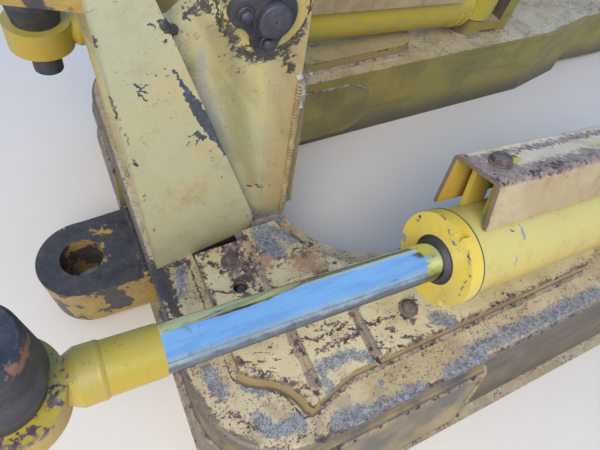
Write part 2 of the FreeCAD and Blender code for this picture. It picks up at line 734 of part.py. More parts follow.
def channel_side(inset, foot_height):
    # Half of the channel's outline, drawn in from the outer skin by a sheet thickness
    top = guard_top_height - inset
    radius = guard_bend - inset
    corner = guard_top_half - inset / math.cos(flare_turn) + inset * math.tan(flare_turn)
    trim = radius * math.tan(corner_turn / 2)
    start = (corner - trim, top)
    middle = on_arc((corner - trim, top - radius), radius, 90.0 - math.degrees(corner_turn) / 2)
    end = (corner + trim * math.sin(flare_turn), top - trim * math.cos(flare_turn))
    foot = (corner + (top - foot_height) * math.tan(flare_turn), foot_height)
    return start, middle, end, foot


def flip(point):
    return (-point[0], point[1])


def guard_channel(outer_foot, inner_foot):
    # Round the outer skin from foot to foot, then back along the inside of the sheet
    out_start, out_mid, out_end, out_foot = channel_side(0.0, outer_foot)
    out_in_start, out_in_mid, out_in_end, out_in_foot = channel_side(guard_sheet, outer_foot)
    in_start, in_mid, in_end, in_foot = map(flip, channel_side(0.0, inner_foot))
    in_in_start, in_in_mid, in_in_end, in_in_foot = map(flip, channel_side(guard_sheet, inner_foot))
    channel = bar_along_x(
        out_foot, out_end, (*out_mid, *out_start), in_start, (*in_mid, *in_end), in_foot,
        in_in_foot, in_in_end, (*in_in_mid, *in_in_start), out_in_start, (*out_in_mid, *out_in_end),
        out_in_foot,
        low=guard_rear, high=guard_front)
    channel.translate(V(0, -guard_offset, 0))
    return channel


# The left guard reaches further down on the inside than the right one
guards = {
    "left": guard_channel(guard_short_foot, guard_long_foot),
    "right": guard_channel(guard_short_foot, guard_short_foot),
}
under_top = guard_top_height - guard_sheet
slot_half = guard_slot_length / 2 - guard_slot_half
brackets = []
for x in (guard_front - guard_bolt_back, guard_rear + guard_bolt_back):
    slot = plate_from_top(
        (x - slot_half, -guard_slot_half),
        (x + slot_half, -guard_slot_half),
        (x + slot_half + guard_slot_half, 0.0, x + slot_half, guard_slot_half),
        (x - slot_half, guard_slot_half),
        (x - slot_half - guard_slot_half, 0.0, x - slot_half, -guard_slot_half),
        low=under_top - 1.0, high=guard_top_height + 1.0)
    slot.translate(V(0, -guard_offset, 0))
    guards = {side: channel.cut(slot) for side, channel in guards.items()}
    shelf = bar_along_x(
        (bracket_half, 0.0),
        (bracket_half, under_top),
        (-bracket_half, under_top),
        (-bracket_half, 0.0),
        (-bracket_half + bracket_sheet, 0.0),
        (-bracket_half + bracket_sheet, under_top - bracket_sheet),
        (bracket_half - bracket_sheet, under_top - bracket_sheet),
        (bracket_half - bracket_sheet, 0.0),
        low=x - bracket_width / 2, high=x + bracket_width / 2)
    shelf.translate(V(0, -guard_offset, 0))
    shelf = shelf.cut(rod_along(AX, barrel_radius, x - bracket_width, x + bracket_width))
    upright = [piece for piece in shelf.Solids if piece.BoundBox.ZMax > barrel_radius]
    brackets.append(upright[0])
guard_brackets = Part.makeCompound(brackets)
for shape in (*guards.values(), guard_brackets):
    shape.rotate(origin, AX, guard_turn)

barrel_nodes = {
    "barrel": barrel, "tail_bushing": tail_bush, "oil_pipe": oil_pipe, "gland": gland, "wiper": wiper,
    "guard_brackets": guard_brackets,
}
for side in cylinder_pitch:
    for name, shape in barrel_nodes.items():
        nodes[side + "_" + name] = placed(shape, side)
    nodes[side + "_guard"] = placed(guards[side], side)

# Rods with forged ends: the left one stands further out, because the blade is angled
half = eye_height / 2
boot_top = half + boot_height
for side, reach in (("left", rod_reach_left), ("right", rod_reach_right)):
    eye_x = gland_to_pin + reach
    at_eye = (eye_x, 0.0, 0.0)
    rod = rod_along(AX, rod_radius, eye_x - rod_reach_left - rod_inside, eye_x - eye_sleeve)
    sleeve = rod_along(AX, eye_sleeve_radius, eye_x - eye_sleeve, eye_x - eye_weld)
    neck = rod_along(AX, eye_neck_radius, eye_x - eye_weld, eye_x - eye_blend_start)
    blend = Part.makeCone(
        eye_neck_radius, half - 1.0, eye_blend_start - eye_blend_end, V(eye_x - eye_blend_start, 0, 0), AX)
    eye = rod_along(AZ, eye_outer, -half, half, at_eye)
    eye = eye.fuse(blend).fuse(neck).fuse(sleeve).removeSplitter()
    eye = eye.cut(rod_along(AZ, eye_bearing_outer, -boot_top, boot_top, at_eye))
    bearing = rod_along(AZ, eye_bearing_outer, -half, half, at_eye)
    bearing = bearing.cut(rod_along(AZ, eye_pin_radius, -half - 1.0, half + 1.0, at_eye))
    boot = Part.makeCone(boot_foot_radius, boot_top_radius, boot_height, V(eye_x, 0, half), AZ)
    boot = boot.cut(rod_along(AZ, eye_pin_radius, half - 1.0, boot_top + 1.0, at_eye))
    pin = rod_along(AZ, eye_pin_radius, -half, boot_top, at_eye)
    free_end = rod_along(AZ, eye_pin_free_radius, -half - eye_pin_free, -half, at_eye)
    head = Part.makeCone(pin_head_foot, pin_head_top, pin_head_height, V(eye_x, 0, boot_top), AZ)
    head_top = boot_top + pin_head_height
    cap_edge = pin_head_top - pin_head_bevel
    cap = Part.makeCone(pin_head_top, cap_edge, pin_head_bevel, V(eye_x, 0, head_top), AZ)
    pin = pin.fuse(free_end).fuse(head).fuse(cap).removeSplitter()
    pieces = {"rod": rod, "rod_eye": eye, "eye_bearing": bearing, "eye_boot": boot, "eye_pin": pin}
    for name, shape in pieces.items():
        nodes[side + "_" + name] = placed(shape, side)

# Shift to the middle of the whole length, and write one file for each piece
front = max(shape.BoundBox.XMax for shape in nodes.values())
rear = min(shape.BoundBox.XMin for shape in nodes.values())
shift = V(-(front + rear) / 2, 0, 0)
os.makedirs("parts", exist_ok=True)
for name, shape in nodes.items():
    shape.translate(shift)
    shape.exportStep("parts/" + name + ".step")
    print(name, shape.ShapeType, len(shape.Solids), round(shape.Volume), shape.isValid())
print("shift", shift.x, "front", front, "rear", rear)
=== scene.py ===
import math
import random

import bpy
import bmesh
from mathutils import Matrix, Vector


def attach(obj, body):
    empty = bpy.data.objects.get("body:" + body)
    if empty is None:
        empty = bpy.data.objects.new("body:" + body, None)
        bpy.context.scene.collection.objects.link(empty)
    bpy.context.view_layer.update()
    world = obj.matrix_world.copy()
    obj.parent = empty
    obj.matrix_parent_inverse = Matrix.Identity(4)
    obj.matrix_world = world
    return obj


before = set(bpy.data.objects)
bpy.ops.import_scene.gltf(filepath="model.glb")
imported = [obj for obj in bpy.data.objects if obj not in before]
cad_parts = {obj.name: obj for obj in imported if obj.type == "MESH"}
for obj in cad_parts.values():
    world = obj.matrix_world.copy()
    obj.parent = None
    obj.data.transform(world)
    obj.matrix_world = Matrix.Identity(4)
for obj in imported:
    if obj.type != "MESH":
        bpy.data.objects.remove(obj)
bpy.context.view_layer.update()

scene = bpy.context.scene
scene.view_settings.view_transform = "Standard"

# The view: a hand-held wide lens close above the left front corner of the frame, looking down
# and back along its left arm
camera_data = bpy.data.cameras.new("view")
camera_data.sensor_width = 36.0
camera_data.lens = 28.03
camera = bpy.data.objects.new("view", camera_data)
camera.matrix_world = Matrix((
    (-0.89851, -0.29345, 0.32644, 0.72444),
    (0.42164, -0.78375, 0.45602, 0.474),
    (0.12203, 0.54738, 0.82794, 0.855),
    (0.0, 0.0, 0.0, 1.0),
))
scene.collection.objects.link(camera)
scene.camera = camera


# Floor and light: a matt pale workshop floor under an overcast dome, with one broad soft lamp
# high on the machine's left
class Wire:
    """An output of a shader node; sums and products of wires and numbers add Math nodes."""

    def __init__(self, finish, socket):
        self.finish = finish
        self.socket = socket

    def maths(self, operation, left, right):
        return self.finish.node("Math", {"operation": operation}, {0: left, 1: right})

    def __add__(self, other):
        return self.maths("ADD", self, other)

    def __sub__(self, other):
        return self.maths("SUBTRACT", self, other)

    def __rsub__(self, other):
        return self.maths("SUBTRACT", other, self)

    def __mul__(self, other):
        return self.maths("MULTIPLY", self, other)

    __radd__ = __add__
    __rmul__ = __mul__

    def larger(self, other):
        return self.maths("MAXIMUM", self, other)

    def smaller(self, other):
        return self.maths("MINIMUM", self, other)

    def sine(self):
        return self.maths("SINE", self, 0)

    def step(self, low, high):
        """0 below low, 1 above high, smooth between."""
        return self.finish.node(
            "MapRange", {"interpolation_type": "SMOOTHSTEP"},
            {"Value": self, "From Min": low, "From Max": high})

    def beside(self, name):
        """Another output of the same node."""
        return Wire(self.finish, self.socket.node.outputs[name])


class Finish:
    """One surface finish. Its place is the point on the part, in metres, in the frame's axes."""

    def __init__(self, name, roughness=0.5, metallic=0):
        self.material = bpy.data.materials.new(name)
        self.material.use_nodes = True
        self.tree = self.material.node_tree
        self.shader = self.tree.nodes["Principled BSDF"]
        self.shader.inputs["Roughness"].default_value = roughness
        self.shader.inputs["Metallic"].default_value = metallic
        self.place = self.node("TexCoord", {}, {}, "Object")
        self.masks = {}

    def node(self, kind, settings, sockets, output=0):
        made = self.tree.nodes.new("ShaderNode" + kind)
        for name, value in settings.items():
            setattr(made, name, value)
        for name, value in sockets.items():
            if isinstance(value, Wire):
                self.tree.links.new(value.socket, made.inputs[name])
            else:
                made.inputs[name].default_value = value
        return Wire(self, made.outputs[output])

    def vector(self, operation, first, second, output=0):
        return self.node("VectorMath", {"operation": operation}, {0: first, 1: second}, output)

    def noise(self, scale, detail=3, roughness=0.55, distortion=0, shift=0, place=None):
        """Even noise, about 0 to 1; shift picks another part of the same field."""
        at = self.place if place is None else place
        if shift:
            at = self.vector("ADD", at, (shift, shift, -shift))
        raw = self.node("TexNoise", {}, {
            "Vector": at, "Scale": scale, "Detail": detail, "Roughness": roughness,
            "Distortion": distortion})
        return (raw - 0.5) * 2 + 0.5

    def hairs(self, scale, width, shift=0):
        """Thin wandering lines, where an even noise crosses its middle."""
        level = self.noise(scale, 2, 0.5, 1.6, shift) - 0.5
        return (width - level * level).step(0, width)

    def dots(self, scale, size, share):
        """Round flecks, one in each cell of the scale; share is how many cells hold one."""
        place = self.wavering(0.0028)
        cell = self.node("TexVoronoi", {}, {"Vector": place, "Scale": scale}, "Distance")
        chance = self.node("SeparateColor", {}, {0: cell.beside("Color")})
        picked = (share - chance).step(0, 0.02)
        return (size - cell).step(0, 0.08) * picked

    def stretched(self, x, y, z, turn=0, about="Z_AXIS"):
        """The place turned in degrees, then with its axes scaled, for marks that run one way."""
        turned_place = self.node(
            "VectorRotate", {"rotation_type": about},
            {"Vector": self.place, "Angle": math.radians(-turn)})
        return self.vector("MULTIPLY", turned_place, (x, y, z))

    def mix(self, factor, first, second):
        """From the first colour to the second."""
        return self.node(
            "Mix", {"data_type": "RGBA"}, {0: factor, 6: colour(first), 7: colour(second)}, 2)

    def coats(self, paint, *coats):
        """The paint with more coats over it, each given as (mask, colour)."""
        for mask, coat in coats:
            paint = self.mix(mask, paint, coat)
        return paint

    def axis(self, name):
        return self.node("SeparateXYZ", {}, {0: self.place}, name)

    def facing(self, name):
        """How far the surface turns to +X, +Y or +Z, from -1 to 1, by the flat of the plate."""
        normal = self.node("NewGeometry", {}, {}, "True Normal")
        return self.node("SeparateXYZ", {}, {0: normal}, name)

    def edge(self, width):
        """1 at the edges and corners of the steel, 0 on its flats."""
        if width not in self.masks:
            rounded = self.node("Bevel", {"samples": 3}, {"Radius": width})
            flat = self.node("NewGeometry", {}, {}, "Normal")
            same = self.vector("DOT_PRODUCT", rounded, flat, 1)
            self.masks[width] = (1 - same).step(0, 0.22)
        return self.masks[width]

    def nook(self, reach):
        """1 deep in corners and under other pieces, 0 in the open."""
        if -reach not in self.masks:
            open_sky = self.node("AmbientOcclusion", {"samples": 4}, {"Distance": reach}, 1)
            self.masks[-reach] = (1 - open_sky).step(0.15, 0.75)
        return self.masks[-reach]

    def wavering(self, amount):
        """The place shifted about by a fine noise, in metres, which frays the outline of a mark."""
        drift = self.node("TexNoise", {}, {"Vector": self.place, "Scale": 170, "Detail": 3}, 1)
        drift = self.vector("SUBTRACT", drift, (0.5, 0.5, 0.5))
        drift = self.vector("MULTIPLY", drift, (amount * 4, amount * 4, amount * 4))
        return self.vector("ADD", self.place, drift)

    def marks(self, *marks, fray=0.003, z=None):
        """Marks in whole millimetres: a spot is (x, y, z, radius), a stroke (x, y, z, x, y, z,
        width), and each further (x, y, z, width) carries it on. Marks at one height leave their z
        to the call. 1 in the middle of a mark, falling to 0 at its rim."""
        at = self.wavering(fray)
        height = () if z is None else (z,)
        size = 3 - len(height)
        total = None
        for mark in marks:
            start = Vector(mark[:size] + height) / 1000
            for place in range(size, len(mark), size + 1):
                *end, width = mark[place:place + size + 1]
                if end:
                    run = Vector((*end, *height)) / 1000 - start
                    offset = self.vector("SUBTRACT", at, start)
                    share = self.vector("DOT_PRODUCT", offset, run / run.length_squared, 1)
                    held = self.node("Clamp", {}, {"Value": share})
                    foot = self.node("VectorMath", {"operation": "SCALE"}, {0: run, "Scale": held})
                    distance = self.vector("DISTANCE", offset, foot, 1)
                    start = Vector((*end, *height)) / 1000
                else:
                    distance = self.vector("DISTANCE", at, start, 1)
                one = 1 - distance * (1000 / width)
                total = one if total is None else total.larger(one)
        return total.larger(0)

    def feed(self, name, wire):
        self.tree.links.new(wire.socket, self.shader.inputs[name])

    def surface(self, tint, height, depth, rough=None):
        """Colour, relief in metres of depth from a height of about 0 to 1, and roughness if it
        varies."""
        self.feed("Base Color", tint)
        bump = self.node("Bump", {}, {"Strength": 1, "Distance": depth, "Height": height})
        self.feed("Normal", bump)
        if rough:
            self.feed("Roughness", rough)


def colour(value):
    return (*value, 1) if isinstance(value, tuple) and len(value) == 3 else value


def dress(finish, *names):
    """Gives CAD nodes or new pieces this finish."""
    for name in names:
        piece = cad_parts.get(name) or bpy.data.objects[name]
        if not piece.material_slots:
            piece.data.materials.append(finish.material)
        for place in piece.material_slots:
            place.material = finish.material


def both(*names):
    return [side + "_" + name for side in ("left", "right") for name in names]


ground = Finish("floor", roughness=0.9)
floor_tone = ground.noise(1.7, 4) * 0.5 + ground.noise(60, 2) * 0.12
ground.feed("Base Color", ground.mix(floor_tone, (0.8, 0.72, 0.6), (0.7, 0.63, 0.53)))
half = 9
floor_mesh = bpy.data.meshes.new("floor")
floor_mesh.from_pydata(
    [(-half, -half, 0), (half, -half, 0), (half, half, 0), (-half, half, 0)], [], [(0, 1, 2, 3)])
floor_piece = bpy.data.objects.new("floor", floor_mesh)
scene.collection.objects.link(floor_piece)
dress(ground, "floor")

world = bpy.data.worlds.new("dome")
scene.world = world
world.use_nodes = True
sky = world.node_tree
sky_ramp = sky.nodes.new("ShaderNodeValToRGB")
horizon, zenith = sky_ramp.color_ramp.elements
horizon.position = 0.48
horizon.color = (0.74, 0.76, 0.78, 1)
zenith.position = 0.74
zenith.color = (0.4, 0.66, 1.2, 1)
sky_way = sky.nodes.new("ShaderNodeTexCoord")
sky_split = sky.nodes.new("ShaderNodeSeparateXYZ")
sky_height = sky.nodes.new("ShaderNodeMapRange")
sky_height.inputs["From Min"].default_value = -1
sky.links.new(sky_way.outputs["Generated"], sky_split.inputs[0])
sky.links.new(sky_split.outputs["Z"], sky_height.inputs["Value"])
sky.links.new(sky_height.outputs[0], sky_ramp.inputs["Fac"])
sky.links.new(sky_ramp.outputs["Color"], sky.nodes["Background"].inputs["Color"])
sky.nodes["Background"].inputs["Strength"].default_value = 0.72

lamp_data = bpy.data.lights.new("soft_lamp", "AREA")
lamp_data.shape = "DISK"
lamp_data.size = 2.4
lamp_data.energy = 105
lamp_data.color = (1, 0.92, 0.79)
lamp = bpy.data.objects.new("soft_lamp", lamp_data)
lamp.location = (1.7, 1.9, 2.6)
lamp.rotation_euler = (Vector((0.5, 0.1, 0.2)) - lamp.location).to_track_quat("-Z", "Y").to_euler()
scene.collection.objects.link(lamp)


# Push frame box: 12 mm plate welded into a U, sprayed yellow, sun-bleached on top and worn
# through to rust along its rim, with clay dried on the rim and the leaning walls; the walls also
# carry painted shade, darker than their dirt
rust_dark = (0.062, 0.043, 0.043)
rust_warm = (0.215, 0.148, 0.132)
rust_fresh = (0.37, 0.22, 0.125)
bare_steel = (0.062, 0.074, 0.092)
steel_bright = (0.135, 0.15, 0.175)
stain_brown = (0.31, 0.21, 0.115)
dust_brown = (0.33, 0.26, 0.17)
pinhole_brown = (0.105, 0.07, 0.052)
clay_dark = (0.078, 0.086, 0.106)
clay_pale = (0.285, 0.305, 0.335)
grease_black = (0.026, 0.026, 0.033)
grease_brown = (0.085, 0.07, 0.062)


def worn_enamel(finish, paint, rust, bare=None, clay=None, fresh=None, grease_and_shade=None, specks=0,
                gloss=0.42, depth=0.0012):
    """Enamel over rust. rust is how likely it shows, about 0 to 0.5, and specks adds pinholes the
    same way; bare, clay, fresh and grease_and_shade are masks of scraped steel, dried clay, bright
    rust, and greasy dirt together with painted shade in crevices, from 0 to 1."""
    grain = finish.noise(150, 4, 0.62, 0.4)
    patch = finish.noise(38, 3, 0.6, 0.3, shift=3.1)
    fine = finish.noise(400, 2, 0.6, shift=1.9)
    dust = finish.noise(21, 5, 0.7, shift=6.6)
    flake = grain * 0.62 + patch * 0.38
    level = rust + flake
    worn = level.step(1, 1.05)
    halo = level.step(0.86, 1.02)
    rust_tone = finish.noise(70, 4, 0.65, shift=7.7).step(0.3, 0.8)
    rust_colour = finish.mix(rust_tone, rust_dark, rust_warm)
    if fresh is not None:
        bright = (fresh * 1.4 + grain * 0.4 - 0.4).step(0, 0.6)
        rust_colour = finish.mix(bright, rust_colour, rust_fresh)
    surface = finish.coats(paint, (dust.step(0.5, 0.95) * 0.35, dust_brown), (halo * 0.55, stain_brown))
    pinholes = (specks + fine * 0.62 + patch * 0.38).step(0.84, 0.93)
    surface = finish.coats(surface, (pinholes * 0.85, pinhole_brown), (worn, rust_colour))
    rough = worn * 0.4 + gloss + dust.step(0.4, 0.9) * 0.12
    if bare is not None:
        scraped = (bare + flake * 0.5).step(0.72, 0.78)
        steel_tone = finish.mix(grain.step(0.45, 0.9), bare_steel, steel_bright)
        surface = finish.mix(scraped, surface, steel_tone)
        rough = rough - scraped * 0.08
    if clay is not None:
        film = (clay + dust * 0.45 + grain * 0.34 - fine.step(0.62, 0.8) * 0.35).step(0.8, 1.14)
        clay_tone = finish.mix((grain * 0.55 + fine * 0.45).step(0.34, 0.66), clay_dark, clay_pale)
        surface = finish.mix(film * 0.86, surface, clay_tone)
        rough = rough + film * 0.3
    if grease_and_shade is not None:
        # Greasy dirt, and the painted shade that some callers give through this mask
        greased_and_shaded = (grease_and_shade + flake * 0.38 + fine * 0.32).step(0.8, 1.02)
        surface = finish.mix(greased_and_shaded * 0.95, surface, finish.mix(grain, grease_black, grease_brown))
        rough = rough - greased_and_shaded * 0.12
    finish.surface(surface, grain * 0.15 + patch * 0.2 - flake.step(0.72, 0.8) * 0.5, depth, rough)


box = Finish("box_enamel")
upward = box.facing("Z").step(0.35, 0.8)
outward = 1 - upward
far_side = box.facing("Y").step(0.4, 0.9) * (0.02 - box.axis("Y")).step(0, 0.04)
tone = box.noise(9, 4, 0.6)
rim_yellow = box.mix(tone.step(0.3, 0.8), (0.56, 0.46, 0.28), (0.47, 0.36, 0.185))
drift = box.noise(26, 5, 0.7, 0.8, shift=7.1)
rim_yellow = box.mix(drift.step(0.48, 0.75) * 0.5, rim_yellow, (0.27, 0.195, 0.12))
# Painted shade: the walls' own colour is a dark ochre, darker than their paint and dirt make it.
shaded_ochre_wall = box.mix(tone.step(0.3, 0.8), (0.205, 0.15, 0.065), (0.115, 0.085, 0.045))
# Painted shade: the far arm's inner wall is a dull olive, yellow paint as it looks in shade.
shaded_far_wall = box.mix(tone.step(0.4, 0.7), (0.31, 0.255, 0.052), (0.235, 0.195, 0.055))
shaded_ochre_wall = box.mix(far_side, shaded_ochre_wall, shaded_far_wall)
streaks = box.noise(12, 4, 0.6, shift=1.3, place=box.stretched(0.5, 0.5, 3))
fine_streaks = box.noise(40, 4, 0.65, shift=5.1, place=box.stretched(0.4, 0.4, 1.6))
streaks = (streaks * 0.65 + fine_streaks * 0.35).step(0.28, 0.78) * 0.65 + 0.3 - far_side * 0.65
foot_line = (0.055 - box.axis("Z")).step(-0.03, 0.05)
# Dark dirt streaks and a darker foot over the shaded wall colour
dirt_and_shade_wall = box.mix(streaks.larger(foot_line * 0.9).larger(0), shaded_ochre_wall, (0.072, 0.062, 0.055))
tilt = box.facing("Z")
rounded_rim = tilt.step(0.25, 0.5) * (1 - tilt.step(0.86, 0.97))
# Painted shade under the rim: outward faces in the top 40 mm of the box, darkened and broken up by the
# fine streaks.
under_rim_shade = (box.axis("Z") - 0.15).step(0, 0.012) * outward * (1 - far_side)
# Painted shadow: a dark brown band along the outer edge of the rim, the tone of the wall below it.
rim_edge_shadow = box.marks(
    (724, 230, 190, 719, 300, 190, 9, 704, 366, 190, 14, 668, 402, 190, 14, 620, 430, 190, 9,
    480, 436, 189, 5), fray=0.004)
front_face = box.facing("X").step(0.3, 0.8)
box_paint = box.coats(
    rim_yellow,
    # the walls: dirt streaks over painted shade
    (outward, dirt_and_shade_wall),
    (rounded_rim * 0.7, (0.15, 0.11, 0.075)),
    # painted shade under the rim
    (under_rim_shade * (fine_streaks * 0.7 + 0.25), (0.095, 0.075, 0.058)),
    # painted shadow along the outer rim edge, and dirt on the front faces
    (rim_edge_shadow.step(0, 0.35).larger(front_face) * 0.85,
     box.mix(tone, (0.14, 0.108, 0.078), (0.085, 0.07, 0.058))))
rim_clay = box.marks(
    (689, 280, 190, 680, 321, 190, 16), (678, 312, 190, 18), (648, 370, 190, 632, 393, 190, 18),
    (626, 393, 190, 598, 397, 190, 20), (546, 415, 190, 500, 424, 190, 22, 477, 419, 190, 18),
    (464, 425, 189, 418, 424, 190, 18), (468, 398, 190, 12), (432, 416, 190, 14),
    (672, 115, 190, 686, 160, 190, 13), (647, 321, 190, 629, 339, 190, 14),
    (363, 423, 190, 300, 424, 189, 20), (313, 408, 190, 256, 411, 190, 18, 40, 415, 190, 22),
    (560, 96, 190, 490, 84, 190, 18), fray=0.006)
rim_rust = box.marks(
    (695, 293, 190, 679, 349, 190, 12, 648, 386, 190, 12, 582, 426, 189, 12, 464, 431, 189, 14,
    371, 432, 189, 16, 100, 432, 189, 14), (704, 106, 190, 708, 200, 190, 16, 706, 274, 190, 14),
    (560, 100, 190, 520, 100, 190, 14), (505, 92, 190, 470, 150, 190, 16), fray=0.005)
corner_dirt = box.marks(
    (706, 98, 706, 150, 28), (703, 150, 700, 215, 18), (657, 106, 690, 104, 10), z=190, fray=0.007)
# Painted shade: the inside of the pocket slot at the post's foot goes near black, given through the
# grease mask.
pocket_shade = box.marks((646, 104, 158, 572, 92, 158, 40), fray=0.0005).step(0, 0.35)
pocket_shade = pocket_shade * (0.1875 - box.axis("Z")).step(0, 0.002)
# Painted shadow: a thin dark line on the rim along the foot of the cover plates, given through the grease
# mask.
cover_foot_shadow = box.marks(
    (660, 112, 660, 306, 4, 647, 322, 5, 622, 338, 5, 602, 356, 5, 590, 392, 5, 566, 396, 5),
    (566, 394, 505, 377, 4, 40, 377, 4), z=190, fray=0.002)
pores = box.noise(16, 2, shift=8.2).step(0.2, 0.85)
leopard = box.dots(135, 0.28, pores * 0.8).larger(box.dots(250, 0.32, pores * 0.9))
worn_enamel(
    box, box_paint,
    rust=box.edge(0.01) * 0.26 + upward * 0.08 + rim_rust * 0.4 + rounded_rim * 0.14
    + leopard * upward * 0.55 + box.noise(5, 2, shift=2) * 0.14 - far_side * 0.08,
    bare=box.edge(0.01) * 0.1 + box.noise(7, 2, shift=9).step(0.62, 0.9) * 0.2,
    clay=rim_clay * 1.05 + box.nook(0.04) * 0.45 + upward * 0.12 - far_side * 0.2,
    # corner dirt, with the painted pocket shade and the painted shadow line at the covers' foot
    grease_and_shade=corner_dirt * 1.05 + pocket_shade * 1.2 + cover_foot_shadow * 0.8,
    specks=upward * 0.2)
dress(box, "cross_box", *both("arm"))


# Raised cover plates: 25 mm plates laid on the box, the front pair bolted and both pairs welded
# down, with a sloped fill along their outer edges; walked on and struck, so that the paint is
# flaked all over
cover = Finish("cover_enamel")
upward = cover.facing("Z").step(0.35, 0.8)
tone = cover.noise(8, 4, 0.6, shift=0.7)
cover_top_paint = cover.mix(tone.step(0.25, 0.8), (0.62, 0.53, 0.31), (0.5, 0.405, 0.205))
# Painted shade: the side and sloped faces of the covers are a dark ochre, darker than their tops.
side_tone = cover.noise(20, 3, shift=2.2, place=cover.stretched(0.4, 0.4, 1.6))
shaded_cover_side = cover.mix(side_tone.step(0.3, 0.7), (0.28, 0.195, 0.08), (0.37, 0.275, 0.115))
flat_sides = 1 - upward
# Painted shadow: a dark line along the foot of the side faces, where they meet the box.
cover_side_foot_shadow = (0.2 - cover.axis("Z")).step(0, 0.006) * flat_sides
top_line = (cover.axis("Z") - 0.2065).step(0, 0.004) * flat_sides
# Painted shade: the far covers are darkened to a dull olive-brown.
far_cover_shade = (0 - cover.axis("Y")).step(0, 0.05)
orange_glow = cover.marks((506, 194, 34), (479, 193, 28), (549, 166, 22), z=215, fray=0.006)
cover_paint = cover.coats(
    # painted shade on the side faces
    shaded_cover_side,
    (upward, cover_top_paint),
    # painted shadow at the foot of the sides
    (cover_side_foot_shadow * 0.85, (0.08, 0.064, 0.052)),
    # painted shade on the far covers
    (far_cover_shade * 0.6, (0.33, 0.25, 0.095)),
    (orange_glow.step(0.1, 0.8) * 0.6, (0.5, 0.33, 0.15)))
cover_rust = cover.marks(
    (649, 116, 649, 238, 13), (649, 118, 614, 116, 12), (614, 118, 557, 120, 15, 560, 168, 16,
    566, 252, 17, 566, 305, 15, 562, 372, 13), (459, 250, 461, 366, 12), (648, 291, 624, 322, 12,
    565, 372, 12), (448, 366, 408, 372, 14, 330, 372, 16, 10, 374, 15), (539, 325, 431, 318, 8),
    (557, 163, 490, 190, 18, 470, 240, 16), (418, 340, 451, 351, 8), (520, 112, 440, 170, 12,
    330, 246, 13, 60, 248, 12), (590, 120, 566, 200, 26), (540, 128, 552, 160, 14),
    (640, 118, 612, 168, 16), (600, 215, 575, 240, 16), z=215, fray=0.006)
bolt_stains = cover.marks(
    (603, 145, 26), (603, 189, 22), (381, 318, 27), (383, 330, 22), z=215, fray=0.004)
scribbles = cover.marks(
    (538, 284, 524, 290, 4), (525, 296, 497, 294, 4), (540, 306, 517, 306, 4), (512, 309, 492, 296, 4),
    (498, 307, 481, 301, 4), (532, 317, 518, 327, 4), (495, 324, 468, 327, 4), (469, 299, 453, 312, 4),
    (528, 330, 505, 321, 3), (482, 312, 462, 320, 3), (546, 298, 530, 312, 3), (508, 283, 516, 300, 3),
    z=215)
cover_clay = cover.marks(
    (538, 108, 534, 149, 24), (531, 100, 492, 142, 18), (547, 345, 497, 345, 20, 468, 363, 20),
    (350, 348, 330, 362, 26), (548, 356, 547, 378, 14), z=215, fray=0.006)
dashes = cover.noise(75, 2, 0.5, shift=3.7, place=cover.stretched(0.5, 2.2, 1, turn=155))
flaking = cover.marks(
    (612, 146, 640, 210, 48), (600, 290, 580, 330, 40), (540, 300, 470, 300, 50),
    (430, 340, 360, 350, 40), z=215, fray=0.001)
flecks = (flaking.step(0, 0.6) * 0.8 + 0.45) * dashes.step(0.68, 0.78)
mottled = cover.marks(
    (556, 118, 530, 150, 34), (520, 150, 470, 210, 40), (590, 130, 575, 230, 34),
    (450, 180, 380, 240, 30), z=215, fray=0.008)
worn_enamel(
    cover, cover_paint,
    rust=(cover.edge(0.01) * 0.24 + top_line * 0.42 + upward * 0.11 + cover_rust * 0.5
          + bolt_stains * 0.62 + scribbles.step(0.1, 0.5) * 0.45 + flecks * upward * 0.5
          + mottled.step(0, 0.8) * 0.2
          + cover.noise(11, 3, shift=4).step(0.5, 0.8) * 0.12).smaller(0.57),
    bare=scribbles.step(0.5, 0.9) * 0.2,
    clay=cover_clay * 1.1 + cover.nook(0.05) * 0.4 + mottled * 0.3,
    fresh=orange_glow,
    # painted shade: dark in the deepest corners of the covers, given through the grease mask
    grease_and_shade=cover.nook(0.05).step(0.7, 1) * 0.4,
    specks=upward * 0.19 + mottled * 0.1)
dress(cover, *both("front_cover", "arm_cover"))


def skin(mesh, rings, loop=False):
    """Joins closed rings of points into one closed skin."""
    made = [[mesh.verts.new(point) for point in ring] for ring in rings]
    pairs = list(zip(made, made[1:]))
    if loop:
        pairs.append((made[-1], made[0]))
    for low, high in pairs:
        for here in range(len(low)):
            after = (here + 1) % len(low)
            mesh.faces.new((low[here], low[after], high[after], high[here]))
    if not loop:
        mesh.faces.new(list(reversed(made[0])))
        mesh.faces.new(made[-1])


def turned(mesh, at, way, profile, across_flats=0, sides=48, turn=0):
    """A solid turned round an axis from (radius, height) pairs, cut to a hexagon if it has flats."""
    way = Vector(way).normalized()
    first = way.orthogonal().normalized()
    first = Matrix.Rotation(math.radians(turn), 3, way) @ first
    second = way.cross(first)
    rings = []
    for radius, height in profile:
        ring = []
        for share in range(sides):
            angle = 2 * math.pi * share / sides
            reach = radius
            if across_flats:
                flat = across_flats / 2 / math.cos(angle % (math.pi / 3) - math.pi / 6)
                reach = min(radius, flat)
            spoke = first * math.cos(angle) + second * math.sin(angle)
            ring.append(Vector(at) + way * height + spoke * reach)
        rings.append(ring)
    skin(mesh, rings)


def washer(mesh, at, way, radius, thick):
    turned(mesh, at, way, [
        (radius - 0.0004, -0.001), (radius, 0.0004), (radius, thick * 0.7),
        (radius - thick * 0.3, thick), (radius * 0.3, thick)])


